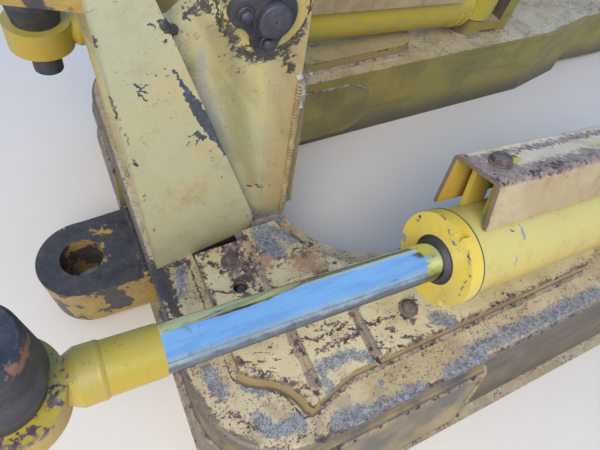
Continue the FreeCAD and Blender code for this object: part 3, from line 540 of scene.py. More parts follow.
def hex_head(mesh, at, way, across, height, turn=0):
    """A hexagon head, its corners chamfered above."""
    corner = across / math.sqrt(3)
    crown = across * 0.47
    fall = (corner - crown) * 0.58
    rise = [(corner + (crown - corner) * part, height - fall * (1 - part))
            for part in (0.25, 0.5, 0.75, 1)]
    turned(mesh, at, way, [
        (corner, -0.001), (corner, height - fall), *rise,
        (crown - 0.0008, height + 0.0003), (crown * 0.55, height + 0.0004)], across, turn=turn)


def worn_head(mesh, at, way, across, height, turn=0):
    """A hexagon head battered round like a dome."""
    reach = across * 0.55
    bow = [(reach * math.cos(math.radians(tilt)), height * (0.35 + 0.65 * math.sin(math.radians(tilt))))
           for tilt in (0, 18, 36, 54, 70, 83)]
    turned(mesh, at, way, [(reach, -0.001), *bow], across, turn=turn)


def add_piece(name, mesh, finish, body):
    """Makes an object of the mesh, in the frame's own axes, lets it ride on a body and gives it
    the finish."""
    bmesh.ops.recalc_face_normals(mesh, faces=mesh.faces)
    data = bpy.data.meshes.new(name)
    mesh.to_mesh(data)
    mesh.free()
    data.polygons.foreach_set("use_smooth", [True] * len(data.polygons))
    data.set_sharp_from_angle(angle=math.radians(38))
    item = bpy.data.objects.new(name, data)
    scene.collection.objects.link(item)
    dress(finish, name)
    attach(item, body)


bolt = Finish("rusty_bolt", metallic=0.25)
bolt_grain = bolt.noise(260, 4, 0.6)
bolt_tone = bolt.noise(90, 3, shift=2)
bolt_rust = bolt.mix(bolt_tone.step(0.3, 0.7), (0.11, 0.082, 0.075), (0.195, 0.145, 0.12))
rubbed = (bolt.facing("Z") * 0.5 + bolt.edge(0.002) * 0.3 + bolt_grain * 0.5).step(0.8, 1.1)
bolt.surface(
    bolt.mix(rubbed * 0.85, bolt_rust, (0.3, 0.27, 0.235)),
    bolt_grain * 0.6 + bolt_tone * 0.4, 0.0007, bolt_grain * 0.3 + 0.45)

up = Vector((0, 0, 1))
cover_top = 0.215
cover_bolt_row = 0.6034
bolts = bmesh.new()
for hand in (1, -1):
    for x, y, turn, ring, thick, across, height in (
            (cover_bolt_row, 0.145, 10, 0.014, 0.0028, 0.019, 0.0088),
            (cover_bolt_row, 0.25, 25, 0.014, 0.0028, 0.019, 0.0088),
            (0.3804, 0.318, 40, 0.015, 0.0025, 0.021, 0.0098)):
        at = Vector((x, hand * y, cover_top))
        washer(bolts, at, up, ring, thick)
        worn_head(bolts, at + up * thick, up, across, height, turn)
add_piece("cover_bolts", bolts, bolt, "frame")

stud = Finish("hidden_stud", metallic=0.5)
stud_grain = stud.noise(200, 3)
stud_colour = stud.mix(stud_grain, (0.055, 0.06, 0.075), (0.13, 0.13, 0.14))
stud.surface(stud_colour, stud_grain, 0.0004, stud_grain * 0.3 + 0.4)
studs = bmesh.new()
for hand in (1, -1):
    turned(studs, (cover_bolt_row - 0.0015, hand * 0.1905, 0.189), up, [
        (0.0072, 0), (0.0072, 0.016), (0.0065, 0.0172), (0.003, 0.0176), (0.0026, 0.016),
        (0.0005, 0.0158)])
add_piece("recessed_studs", studs, stud, "frame")


def sharp_edges(node):
    """The edges of a CAD node where its faces meet at an angle, as pairs of points."""
    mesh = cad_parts[node].data
    sides = {}
    for face in mesh.polygons:
        ring = [tuple(round(value, 5) for value in mesh.vertices[index].co) for index in face.vertices]
        for here, after in zip(ring, ring[1:] + ring[:1]):
            if here != after:
                sides.setdefault(frozenset((here, after)), []).append(face.normal)
    return [tuple(pair) for pair, normals in sides.items()
            if len(normals) == 2 and normals[0].angle(normals[1], 0) > 0.5]


def path_length(path):
    return sum((after - here).length for here, after in zip(path, path[1:]))


def seams(node, keep):
    """The lines along a node's edges whose points are all kept, longest first."""
    joins = {}
    for here, after in sharp_edges(node):
        if keep(Vector(here)) and keep(Vector(after)):
            joins.setdefault(here, []).append(after)
            joins.setdefault(after, []).append(here)
    left = {frozenset((here, after)) for here in joins for after in joins[here]}
    paths = []
    for start in sorted(joins, key=lambda point: (len(joins[point]) % 2 == 0, point)):
        path = [Vector(start)]
        onward = start
        while True:
            ways = [point for point in sorted(joins[onward]) if frozenset((onward, point)) in left]
            if not ways:
                break
            left.discard(frozenset((onward, ways[0])))
            onward = ways[0]
            path.append(Vector(onward))
        if len(path) > 1:
            paths.append(path)
    return sorted(paths, key=lambda path: -path_length(path))


def evenly(path, gap):
    """Points along the path, a gap apart."""
    points = [path[0]]
    wanted = gap
    for here, after in zip(path, path[1:]):
        run = (after - here).length
        while wanted <= run:
            points.append(here.lerp(after, wanted / run))
            wanted += gap
        wanted -= run
    return points


def weld(mesh, path, bulge, width, height, seed, gap=0.0011, sides=9, ripples=0.17):
    """A hand-laid bead along the path: overlapping crescent ripples of uneven length. It bulges
    one way; width and height are half its section, in millimetres."""
    width, height = width / 1000, height / 1000
    luck = random.Random(seed)
    path = [Vector(point) for point in path]
    closed = (path[0] - path[-1]).length < 1e-5
    line = evenly(path, gap)
    last = len(line) - 1
    phases = []
    while len(phases) <= last:
        count = round(luck.uniform(0.0038, 0.006) / gap)
        ripple_start = math.ceil(phases[-1]) if phases else 0
        phases += [ripple_start + part / count for part in range(1, count + 1)]
    sway = [luck.uniform(-1, 1) for _ in range(len(line) // 9 + 3)]
    rings = []
    for index, point in enumerate(line):
        if closed:
            ahead, behind = line[(index + 2) % len(line)], line[index - 2]
        else:
            ahead, behind = line[min(index + 2, last)], line[max(index - 2, 0)]
        way = (ahead - behind).normalized()
        across = way.cross(Vector(bulge)).normalized()
        rise = across.cross(way)
        block, part = divmod(index, 9)
        drift = sway[block] + (sway[block + 1] - sway[block]) * part / 9
        taper = 1 if closed else min(1, 0.35 + 0.2 * min(index, last - index))
        middle = point + across * drift * width * 0.08
        ring = []
        for share in range(sides):
            angle = 2 * math.pi * share / sides
            lag = 0.55 * (1 - max(math.sin(angle), 0))
            ripple = math.sin(math.pi * ((phases[index] - lag) % 1) ** 0.75)
            swell = (1.05 - ripples + ripples * ripple + 0.07 * drift) * taper
            spoke = across * math.cos(angle) * width + rise * math.sin(angle) * height
            ring.append(middle + spoke * swell)
        rings.append(ring)
    skin(mesh, rings, loop=closed)


rusty_weld = Finish("cover_weld")
weld_tone = rusty_weld.noise(45, 4, 0.6)
weld_paint = rusty_weld.mix(weld_tone.step(0.35, 0.7), (0.36, 0.28, 0.17), (0.24, 0.18, 0.15))
worn_enamel(
    rusty_weld, weld_paint, rust=weld_tone * 0.12 + 0.38,
    clay=rusty_weld.nook(0.03) * 0.3 + 0.28, specks=0.1, gloss=0.55, depth=0.0024)


def sloped_edge(mesh, path, hand, reach, low, high):
    """A slope along a plate's edge, level with its top and standing out by reach at its foot, the
    line of which it gives back."""
    section = ((-0.002, high - 0.0012), (0.0002, high - 0.0008), (0.0012, high - 0.0022),
               (reach * 0.55, (low + high) / 2), (reach, low + 0.0015), (reach, low - 0.0005),
               (-0.002, low - 0.0005))
    rings = []
    for index, point in enumerate(path):
        ahead, behind = path[min(index + 1, len(path) - 1)], path[max(index - 1, 0)]
        out = (ahead - behind).cross(up).normalized() * hand
        rings.append([Vector((*(point + out * away).xy, height)) for away, height in section])
    skin(mesh, rings)
    return [Vector((*ring[4].xy, low)) for ring in rings]


box_top = 0.19
plate_split = 0.5645
cover_welds = bmesh.new()
cover_slopes = bmesh.new()
for seed, side, hand in ((11, "left", 1), (12, "right", -1)):
    outline = seams(side + "_arm_cover", lambda point: abs(point.z - box_top) < 1e-4)[0]
    joint = next(index for index, point in enumerate(outline[:-1])
                 if min(point.x, outline[index + 1].x) > plate_split)
    inner = [point for point in outline[joint + 1:] + outline[1:joint + 1] if abs(point.y) < 0.3665]
    weld(cover_welds, inner, up, 5.8, 5, seed)

    for plate, edge_from, reach in (("front", 0.3055, 0.01), ("arm", 0.3665, 0.006)):
        rim = seams(side + "_" + plate + "_cover", lambda point: abs(point.z - cover_top) < 1e-4)[0]
        around = sorted({tuple(point) for point in rim}, key=lambda point: -point[0])
        edge = [Vector(point) for point in around if abs(point[1]) > edge_from]
        if plate == "front":
            edge = evenly(edge, 0.005)
        foot = sloped_edge(cover_slopes, edge, hand, reach, box_top, cover_top)
        if plate == "arm":
            weld(cover_welds, foot, up, 4.8, 4, seed + 8)

    for x, y_from in ((0.5655, 118), (0.559, 252), (0.459, 248), (0.466, 256)):
        ridge = [(x, hand * y / 1000, cover_top) for y in range(y_from, 380, 12)]
        weld(cover_welds, ridge, up, 5.2, 1.7, seed + round(x * 1000))
add_piece("cover_welds", cover_welds, rusty_weld, "frame")
add_piece("cover_slopes", cover_slopes, cover, "frame")


# Wear plates: flat steel bar bent round the outer corners and straps laid on the inner walls,
# sprayed with the box and fixed by a thin bead all round
strap = Finish("strap_enamel")
strap_tone = strap.noise(7, 4)
strap_yellow = strap.mix(strap_tone.step(0.35, 0.75), (0.35, 0.265, 0.12), (0.13, 0.112, 0.09))
# Painted shade: the far wear plates are darkened to a dull olive.
shaded_far_yellow = strap.mix(strap_tone.step(0.35, 0.8), (0.31, 0.26, 0.06), (0.19, 0.155, 0.05))
far_strap = (0 - strap.axis("Y")).step(0, 0.05)
strap_front = strap.facing("X").step(0.2, 0.7)
strap_paint = strap.coats(
    # dull olive painted shade on the far plates; dirt on the front faces
    strap_yellow, (far_strap * 0.9, shaded_far_yellow), (strap_front * 0.75, (0.115, 0.092, 0.07)))
worn_enamel(
    strap, strap_paint,
    rust=strap.edge(0.006) * 0.25 + 0.04,
    clay=strap.nook(0.04) * 0.4 + 0.1)
dress(strap, *both("corner_guard", "inner_plate"))

strap_welds = bmesh.new()
for side, hand in (("left", 1), ("right", -1)):
    for path in seams(side + "_inner_plate", lambda point: abs(point.y) > 0.2115)[:1]:
        weld(strap_welds, path, (0, -hand, 0), 4.2, 4.2, 21)
    for path in seams(side + "_corner_guard", lambda point: True)[:3]:
        if path_length(path) > 0.5:
            weld(strap_welds, path, (0.6, 0.8 * hand, 0.2), 3.4, 3.4, 22)
add_piece("strap_welds", strap_welds, rusty_weld, "frame")


# Tower: flared posts and dished ears cut from plate and welded together, with weld spilled at
# the rear edges; the paint faded to a greenish cream, ochre along the rear, and scraped to the
# steel where the fold stands out
tower_rear = 0.4835
tower = Finish("tower_enamel")
tone = tower.noise(5, 3, 0.5, shift=0.2)
cream = tower.mix(tone.step(0.2, 0.8), (0.52, 0.49, 0.285), (0.54, 0.47, 0.235))
greenish = tower.noise(3.2, 2, shift=6, place=tower.stretched(1.6, 1, 0.7))
rear_ochre = (0.545 - tower.axis("X")).step(-0.01, 0.05)
post_ochre = tower.marks(
    (646, 96, 524, 45), (632, 94, 509, 50), (626, 94, 344, 45), (615, 92, 417, 40), (655, 97, 339, 45),
    (600, 72, 560, 40), fray=0.004)
# Painted shade: a dull olive band down the dished middle of each ear.
ear_hollow_shade = tower.marks(
    (584, 72, 560, 572, 71, 475, 26), (567, 70, 466, 553, 70, 360, 24, 540, 71, 300, 18),
    (621, 76, 526, 22), fray=0.002)
grey_streak = tower.marks(
    (612, 74, 500, 592, 72, 440, 16, 578, 71, 380, 14), (606, 74, 540, 610, 74, 500, 12), fray=0.002)
ear_yellow = tower.marks((590, 72, 545, 580, 72, 500, 20), (545, 70, 500, 530, 71, 430, 30))
rub_place = tower.stretched(1, 1, 0.22, 24, "Y_AXIS")
rubs = tower.noise(30, 3, 0.6, 0.6, shift=9.5, place=rub_place)
ear_only = (0.084 - tower.axis("Y")).step(0, 0.002)
pencil_lines = tower.hairs(20, 0.0007, shift=11)
low_down = (0.44 - tower.axis("Z")).step(0, 0.1)
# Brown edge wear and painted shade together: the rounded front corners of the posts go brown ochre.
front_edge_wear_and_shade = tower.edge(0.006) * (tower.axis("X") - 0.665).step(0, 0.01)
boss_face = tower.marks((538, 80, 582, 64), fray=0.0005).step(0.02, 0.1)
boss_face = boss_face * (tower.axis("Y") - 0.0765).step(0, 0.001)
# Painted shadow: the faces between 469 and 483 mm back, just behind the ears' rear welds, are darkened.
rear_gap_shadow = (0.483 - tower.axis("X")).step(0, 0.002)
rear_gap_shadow = rear_gap_shadow * (tower.axis("X") - 0.469).step(0, 0.002)
cream = tower.coats(
    cream,
    (greenish.step(0.5, 0.9) * 0.6, (0.44, 0.46, 0.31)),
    (rear_ochre * 0.85, (0.46, 0.335, 0.145)),
    (post_ochre.step(0, 1) * 0.45, (0.58, 0.44, 0.19)),
    # painted shade down the ear's hollow
    (ear_hollow_shade.step(0, 0.9) * 0.75, (0.3, 0.275, 0.105)),
    (grey_streak.step(0, 1) * 0.6, (0.37, 0.385, 0.345)),
    (ear_yellow.step(0, 1) * 0.4, (0.6, 0.5, 0.17)),
    (rubs.step(0.45, 0.85) * (ear_only * 0.35 + 0.08), (0.3, 0.24, 0.13)),
    (pencil_lines * low_down * 0.22, (0.4, 0.28, 0.13)),
    # edge wear and painted shade on the front corners
    (front_edge_wear_and_shade * 0.75, (0.28, 0.2, 0.095)),
    (boss_face * 0.6, (0.52, 0.4, 0.1)),
    # painted shadow behind the rear welds
    (rear_gap_shadow * 0.8, (0.155, 0.13, 0.085)))
grease_ring = tower.marks(
    (582, 80, 581, 580, 80, 563, 16, 563, 72, 534, 20, 537, 72, 520, 22, 505, 72, 528, 20,
    494, 72, 545, 20), (599, 73, 590, 586, 80, 600, 20), (511, 72, 522, 498, 72, 495, 18),
    (592, 73, 622, 600, 73, 590, 18), (494, 72, 545, 488, 72, 585, 16), (606, 74, 596, 618, 75, 588, 14),
    (560, 80, 545, 530, 80, 538, 12), fray=0.007)
# Painted shade: thin dark lines along the crevice round the boss and in the corners by the post's fold,
# given through the grease mask.
crevice_shade = tower.marks(
    (589, 72, 600, 586, 72, 565, 4, 570, 72, 545, 4, 538, 72, 532, 4, 510, 72, 542, 4, 496, 72, 560, 4),
    (642, 96, 591, 636, 82, 578, 6), (649, 96, 598, 636, 90, 582, 6), (640, 94, 584, 632, 88, 560, 4))
scraped = tower.marks(
    (682, 101, 542, 676, 100, 534, 2), (677, 100, 540, 680, 100, 525, 1.8),
    (681, 100, 533, 672, 100, 528, 1.6), (679, 100, 529, 674, 100, 519, 2),
    (677, 100, 524, 673, 100, 518, 1.6), (674, 100, 535, 670, 99, 536, 1.4),
    (642, 96, 545, 636, 95, 531, 2), (636, 95, 530, 631, 94, 514, 3.4),
    (631, 94, 512, 624, 93, 493, 6.5), (624, 94, 496, 616, 92, 472, 9),
    (617, 93, 476, 608, 92, 454, 10.5), (610, 92, 458, 601, 91, 434, 10, 588, 89, 396, 3.6),
    (624, 93, 450, 616, 92, 438, 5), (628, 94, 446, 634, 94, 450, 1.6), (624, 93, 440, 626, 93, 428, 1.6),
    (630, 94, 441, 638, 95, 437, 1.4), (630, 94, 448, 622, 93, 450, 1.6),
    (626, 93, 441, 622, 93, 436, 1.2), (655, 97, 595, 659, 98, 600, 2), fray=0.0022)
chips = tower.marks(
    (676, 100, 613, 2), (661, 98, 576, 3), (652, 97, 549, 3), (650, 97, 540, 2.5), (660, 98, 545, 2.5),
    (651, 97, 518, 2), (643, 96, 514, 2), (690, 102, 518, 2), (610, 91, 411, 3),
    (605, 91, 398, 603, 91, 390, 3), (594, 89, 353, 2.2), (597, 90, 348, 2), (668, 99, 550, 2),
    (611, 92, 274, 2.2), (694, 102, 376, 2), (699, 103, 365, 2), (707, 104, 536, 703, 104, 505, 3),
    (703, 103, 494, 701, 103, 470, 3), (701, 103, 443, 699, 103, 430, 3),
    (698, 103, 377, 697, 103, 366, 2.6), (706, 104, 600, 707, 104, 590, 2.5),
    (696, 103, 300, 696, 103, 292, 2.5), (587, 72, 532, 574, 71, 533, 1.4), (564, 70, 504, 3),
    (587, 72, 481, 2), (512, 72, 284, 509, 72, 273, 3), (548, 71, 293, 540, 71, 285, 3.4),
    (535, 71, 291, 522, 72, 279, 4), (517, 72, 331, 2.4), (557, 70, 338, 2), (500, 72, 501, 5),
    (648, 96, 580, 646, 96, 573, 2), (550, 84, 232, 3))
spatter = tower.dots(250, 0.2, tower.noise(6, 2, shift=4.4).step(0.2, 1) * 0.25)
foot_dirt = (0.248 - tower.axis("Z")).step(-0.02, 0.045)
edge_dirt = (tower_rear - tower.axis("X")).step(0, 0.003)
worn_enamel(
    tower, cream,
    rust=tower.edge(0.006) * 0.27 + chips.step(0.1, 0.5) * 0.52 + grease_ring * 0.2
    + spatter * 0.32 + foot_dirt * (ear_only * 0.16 + 0.06) + 0.01,
    bare=scraped.step(0.05, 0.4) * 0.75,
    clay=tower.nook(0.04) * 0.3 + foot_dirt * ear_only * 0.5 + edge_dirt * 0.35,
    # grease ring and boss, with painted crevice shade
    grease_and_shade=(grease_ring * 0.85).larger(crevice_shade * 1.3).larger(boss_face * 0.32),
    specks=ear_only * 0.05 + 0.04)
dress(tower, *both("tower_post", "lift_ear"), "tower_rear_plate", "tower_front_plate")

yellow_weld = Finish("tower_weld")
weld_tone = yellow_weld.noise(30, 4, 0.6)
weld_paint = yellow_weld.mix(weld_tone.step(0.3, 0.7), (0.45, 0.34, 0.15), (0.34, 0.24, 0.105))
# Painted shade: dark bands across the bead every few millimetres, for the shaded hollows between its
# ripples.
ripple_shade_lines = (yellow_weld.axis("Z") * 1200 + weld_tone * 5).sine()
weld_paint = yellow_weld.mix(ripple_shade_lines.step(0.1, 0.9) * 0.75, weld_paint, (0.12, 0.082, 0.045))
worn_enamel(
    yellow_weld, weld_paint, rust=yellow_weld.nook(0.004) * 0.2 + 0.1,
    # painted shade: dark in the bead's tight hollows, given through the grease mask
    grease_and_shade=yellow_weld.nook(0.004) * 0.7, gloss=0.5, depth=0.0008)

tower_welds = bmesh.new()
spilled_weld = bmesh.new()
corner_knots = bmesh.new()
for seed, side, hand in ((31, "left", 1), (35, "right", -1)):
    rear_edge = [(tower_rear, hand * 0.0725, z / 1000) for z in range(196, 478, 10)]
    weld(tower_welds, rear_edge, (-0.3, hand * 0.95, 0), 5.2, 5, seed, 0.0009, 11, 0.3)
    front_corner = [(0.6815, hand * 0.087, z / 1000) for z in range(200, 606, 10)]
    weld(tower_welds, front_corner, (-0.7, -hand * 0.7, 0), 4.5, 4.5, seed + 3)
    spill_line = [(x, hand * y, z) for x, y, z in (
        (0.4905, 0.0725, 0.486), (0.484, 0.073, 0.48), (0.48, 0.0735, 0.468),
        (0.479, 0.0735, 0.45), (0.48, 0.0735, 0.43))]
    weld(spilled_weld, spill_line, (-0.3, hand, 0.2), 4.6, 4.2, seed + 4)
    knot_line = [(x, hand * y, z) for x, y, z in (
        (0.648, 0.0945, 0.6), (0.644, 0.0935, 0.59), (0.637, 0.085, 0.58), (0.63, 0.079, 0.579))]
    weld(corner_knots, knot_line, (0.1, hand, 0.3), 5.2, 4.8, seed + 5)
rear_plate_top = [(0.4665, y / 1000, 0.478) for y in range(-70, 71, 10)]
weld(tower_welds, rear_plate_top, (-0.7, 0, 0.7), 3, 3, 39)
add_piece("tower_welds", tower_welds, yellow_weld, "frame")

spill = Finish("spilled_weld", roughness=0.6)
spill_tone = spill.noise(120, 3)
spill_colour = spill.mix(spill_tone.step(0.2, 0.8), (0.22, 0.215, 0.19), (0.52, 0.5, 0.43))
spill.surface(spill_colour, spill_tone, 0.0012)
add_piece("spilled_weld", spilled_weld, spill, "frame")


# Blade pivot lugs: thick flame-cut plates welded to the tower and to the box in front, black
# with old grease, with yellow left in places; greasy knots of weld sit below the upper one
lug = Finish("greasy_enamel")
lug_tone = lug.noise(16, 4, 0.6)
lug_yellow = lug.mix(lug.noise(40), (0.42, 0.27, 0.06), (0.3, 0.2, 0.07))
lug_side = 1 - lug.facing("Z").step(0.3, 0.8)
lug_left = (lug_tone + lug_side * 0.18).step(0.66, 0.74)
lug_grease = lug.mix(lug.noise(60, 3, shift=3), (0.028, 0.029, 0.036), (0.085, 0.072, 0.06))
lug.surface(
    lug.mix(lug_left, lug_grease, lug_yellow),
    lug.noise(90, 4, 0.6) * 0.5 + lug_tone * 0.5 - lug_left * 0.3, 0.0022, lug_tone * 0.25 + 0.32)
dress(lug, "upper_pivot_lug", "lower_pivot_lug")

lug_welds = bmesh.new()
for z, lift in ((0.65, 0.85), (0.612, -0.85)):
    for hand in (1, -1):
        line = [(0.656 + 0.0048 * step, hand * (0.0875 + 0.00022 * step), z) for step in range(10)]
        weld(lug_welds, line, (0, -hand * 0.5, lift), 5.5, 5.5, 41)
for x, z, lift in ((0.7335, 0.025, -0.7), (0.7225, 0.125, 0.7)):
    line = [(x, y / 1000, z) for y in range(-72, 73, 9)]
    weld(lug_welds, line, (0.7, 0, lift), 6.5, 6.5, 43)
add_piece("lug_welds", lug_welds, lug, "frame")
add_piece("corner_knots", corner_knots, lug, "frame")


# Lift pin and its keeper: a hardened pin with rubbed, centre-drilled ends, a flame-cut
# three-cornered keeper and its two bolts, all dark with old grease
steel = Finish("greasy_steel", metallic=0.6)
smear = steel.noise(30, 4, 0.6)
steel_base = steel.mix(smear.step(0.3, 0.8), (0.048, 0.053, 0.07), (0.11, 0.102, 0.108))
rubbed = (steel.edge(0.0025) * 0.6 + steel.noise(120, 3) * 0.5).step(0.65, 0.95)
pin_rust = steel.marks((814, 313, 518, 822, 330, 523, 7), (812, 306, 512, 814, 313, 518, 4), fray=0.005)
steel_colour = steel.coats(
    steel_base, (rubbed * 0.6, (0.22, 0.17, 0.14)), (pin_rust.step(0.05, 0.5) * 0.85, (0.4, 0.2, 0.13)))
steel.surface(steel_colour, steel.noise(220, 2) * 0.4 + smear * 0.6, 0.0008, smear * 0.35 + 0.38)
dress(steel, "lift_pin", "lift_pin_keeper",
      *both("anchor_pin", "eye_pin", "eye_bearing", "tail_bushing", "pivot_bushing"))

lift_pin_x = 0.538
lift_pin_z = 0.582
across = Vector((0, 1, 0))
keeper_bolts = bmesh.new()
for angle, turn in ((13, 8), (-82, 33)):
    way = Vector((math.cos(math.radians(angle)), 0, math.sin(math.radians(angle))))
    at = Vector((lift_pin_x, 0.09, lift_pin_z)) + way * 0.029
    washer(keeper_bolts, at, across, 0.0088, 0.0026)
    worn_head(keeper_bolts, at + across * 0.0026, across, 0.0132, 0.007, turn)
add_piece("keeper_bolts", keeper_bolts, steel, "frame")

rubbed_steel = Finish("rubbed_pin_face", metallic=0.5)
face_tone = rubbed_steel.noise(45, 4, 0.6)
face_colour = rubbed_steel.mix(face_tone.step(0.3, 0.8), (0.07, 0.068, 0.09), (0.12, 0.112, 0.13))
face_worn = (rubbed_steel.edge(0.002) * 0.7 + rubbed_steel.noise(150, 3) * 0.45).step(0.62, 0.95)
rubbed_steel.surface(
    rubbed_steel.mix(face_worn * 0.6, face_colour, (0.25, 0.21, 0.185)),
    rubbed_steel.noise(260, 2) * 0.5 + face_tone * 0.5, 0.0006, face_tone * 0.25 + 0.42)
pin_faces = bmesh.new()
for hand, foot in ((1, 0.0935), (-1, 0.0815)):
    turned(pin_faces, (lift_pin_x, hand * foot, lift_pin_z), (0, hand, 0), [
        (0.0176, 0), (0.0178, 0.0008), (0.0178, 0.0066), (0.0172, 0.0078), (0.0162, 0.0083),
        (0.0024, 0.0086), (0.0014, 0.0083), (0.0012, 0.003), (0.0004, 0.0028)], sides=64)
add_piece("lift_pin_faces", pin_faces, rubbed_steel, "frame")


# Rear pivots and anchor brackets: forged heads in the ends of the arms and flame-cut ears on
# top of them, sprayed with the box and fixed by heavy beads
dress(box, *both("pivot_head", "anchor_bracket"))
arm_welds = bmesh.new()
for seed, side in ((51, "left"), (55, "right")):
    for path in seams(side + "_anchor_bracket", lambda point: point.z < 0.1905)[:1]:
        weld(arm_welds, path, up, 6.5, 6, seed)
    for path in seams(side + "_pivot_head", lambda point: point.x > -0.612)[:1]:
        weld(arm_welds, path, (-1, 0, 0), 6, 6, seed + 1)
add_piece("arm_welds", arm_welds, rusty_weld, "frame")


# Angle cylinders: honed tubes with a fresher coat of yellow than the frame, closed by a flanged
# nut with a rubber seal at its seam; the chrome rod ends in a forged eye welded to its sleeve
tube = Finish("cylinder_enamel")
tone = tube.noise(7, 3, 0.5)
# Painted light: the barrels' upper sides are a paler yellow than their sides and undersides.
upward = tube.facing("Z").step(-0.2, 0.9)
# Painted shade: the far barrel is darkened to a deeper yellow.
far_tube_shade = (0 - tube.axis("Y")).step(0, 0.05)
tube_scuffs = tube.marks(
    (273, 319, 391, 275, 336, 384, 3.5), (294, 352, 372, 297, 357, 365, 3.2))
tube_chips = tube.marks(
    (277, 331, 392, 278, 336, 388, 3), (332, 310, 425, 4), (236, 354, 361, 238, 363, 343, 2),
    (299, 348, 378, 2), (290, 322, 392, 5))
yellow = tube.coats(
    # painted light: paler yellow on top
    tube.mix(upward, (0.56, 0.38, 0.035), (0.63, 0.54, 0.16)),
    (tone.step(0.4, 0.9) * 0.5, (0.56, 0.48, 0.19)),
    # painted shade on the far barrel
    (far_tube_shade * 0.8, (0.5, 0.39, 0.045)),
    (tube_scuffs.step(0.1, 0.5) * 0.9, (0.26, 0.28, 0.33)))
worn_enamel(
    tube, yellow,
    rust=tube.edge(0.003) * 0.2 + tube_chips.step(0.1, 0.5) * 0.5
    + tube.dots(110, 0.18, 0.05) * 0.25,
    clay=tube.nook(0.03) * 0.35, specks=0.035, gloss=0.34, depth=0.0006)
dress(tube, *both("barrel", "oil_pipe", "guard_brackets"))

gland = Finish("gland_enamel")
gland_yellow = gland.mix(
    gland.noise(12, 3).step(0.3, 0.9), (0.76, 0.555, 0.075), (0.66, 0.52, 0.12))
gland_chips = gland.marks(
    (376, 295, 398, 376, 303, 398, 3), (376, 308, 392, 376, 322, 396, 4),
    (374, 329, 406, 376, 341, 397, 3), (374, 323, 408, 3), (379, 253, 374, 381, 251, 359, 3),
    (375, 273, 402, 375, 280, 405, 3), (378, 352, 385, 384, 360, 350, 3),
    (388, 340, 380, 386, 350, 368, 3))
worn_enamel(
    gland, gland_yellow,
    rust=gland.edge(0.0022) * 0.24 + gland_chips.step(0.1, 0.5) * 0.5,
    clay=gland.nook(0.012) * 0.55, gloss=0.34, depth=0.0005)
dress(gland, *both("gland"))

chrome = Finish("hard_chrome", metallic=1)
haze = chrome.noise(14, 4)
handled = chrome.noise(55, 4, 0.6, 0.5, shift=2)
# Drag marks along the rod, which also lay painted reflection streaks into its colour.
drag_and_reflection_streaks = chrome.noise(110, 4, 0.6, place=chrome.stretched(0.035, 1, 1))
# Painted reflection: the chrome's own colour is tinted sky blue.
sky_tinted_chrome = chrome.mix(haze.step(0.3, 0.9), (0.72, 0.93, 0.99), (0.64, 0.84, 0.93))
round_normal = chrome.node("NewGeometry", {}, {}, "Normal")
upward = chrome.node("SeparateXYZ", {}, {0: round_normal}, "Z")
# Painted reflection: the rod's lower side is painted dark, as the dark ground it would mirror.
under = 1 - (upward + (handled - 0.5) * 0.25 + (drag_and_reflection_streaks - 0.5) * 0.2).step(0.26, 0.72)
scored = chrome.marks(
    (599, 290, 412, 599, 305, 410, 2.2, 599, 318, 404, 2.4, 599, 328, 392, 2.4, 599, 330, 380, 2),
    (460, 322, 378, 520, 324, 388, 1.8), fray=0.0006)
smudged = chrome.marks(
    (700, 322, 400, 640, 328, 386, 22, 600, 328, 380, 16), (705, 300, 414, 690, 318, 404, 8),
    fray=0.005).step(0, 0.6)
chrome_colour = chrome.coats(
    # sky-blue painted reflection
    sky_tinted_chrome,
    # painted reflection: pale blue streaks along the rod
    (drag_and_reflection_streaks.step(0.45, 0.75) * 0.38, (0.42, 0.6, 0.8)),
    # painted dark reflection on the lower side
    (under * 0.92, (0.125, 0.145, 0.185)),
    (scored.step(0.1, 0.7) * 0.75, (0.1, 0.11, 0.14)),
    (smudged * handled.step(0.35, 0.75) * 0.6, (0.3, 0.36, 0.46)))
chrome_rough = haze.step(0.4, 1) * 0.06 + drag_and_reflection_streaks.step(0.5, 0.9) * 0.06 + smudged * handled * 0.2
chrome.surface(
    chrome_colour, chrome.noise(9, 1) * 0.5 + drag_and_reflection_streaks * 0.3, 0.0003, chrome_rough + under * 0.08 + 0.04)
dress(chrome, *both("rod"))

eye = Finish("eye_enamel")
tone = eye.noise(9, 3)
yellow = eye.mix(eye.facing("Z").step(-0.3, 0.9), (0.5, 0.33, 0.028), (0.43, 0.335, 0.045))
yellow = eye.mix(tone.step(0.45, 0.9) * 0.45, yellow, (0.44, 0.37, 0.16))
eye_chips = eye.marks(
    (826, 323, 432, 818, 320, 432, 7), (826, 316, 432, 820, 314, 431, 6),
    (827, 330, 432, 818, 330, 431, 6), (820, 286, 431, 816, 292, 430, 5), (812, 295, 430, 5),
    (813, 303, 431, 5), (820, 305, 431, 4), (811, 310, 431, 4), (839, 334, 434, 4))
eye_rust = eye.marks((860, 349, 437, 845, 348, 434, 13, 836, 346, 426, 11), fray=0.005)
worn_enamel(
    eye, yellow,
    rust=eye.edge(0.005) * 0.2 + eye_rust.step(0, 0.5) * 0.52 + eye_chips.step(0.1, 0.5) * 0.44 + 0.02,
    bare=eye_chips.step(0.3, 0.8) * 0.55, specks=0.05, gloss=0.34, depth=0.0008)
dress(eye, *both("rod_eye"))

rubber = Finish("black_rubber", roughness=0.6)
rubber_colour = rubber.mix(rubber.noise(40), (0.02, 0.02, 0.025), (0.075, 0.07, 0.064))
rubber.surface(rubber_colour, rubber.noise(180, 3), 0.0005)
dress(rubber, *both("wiper", "eye_boot"))

anchor_pin = Vector((-0.199557, 0.305, 0.2655))
cylinder_pitch = {"left": math.radians(8), "right": math.radians(4.6)}


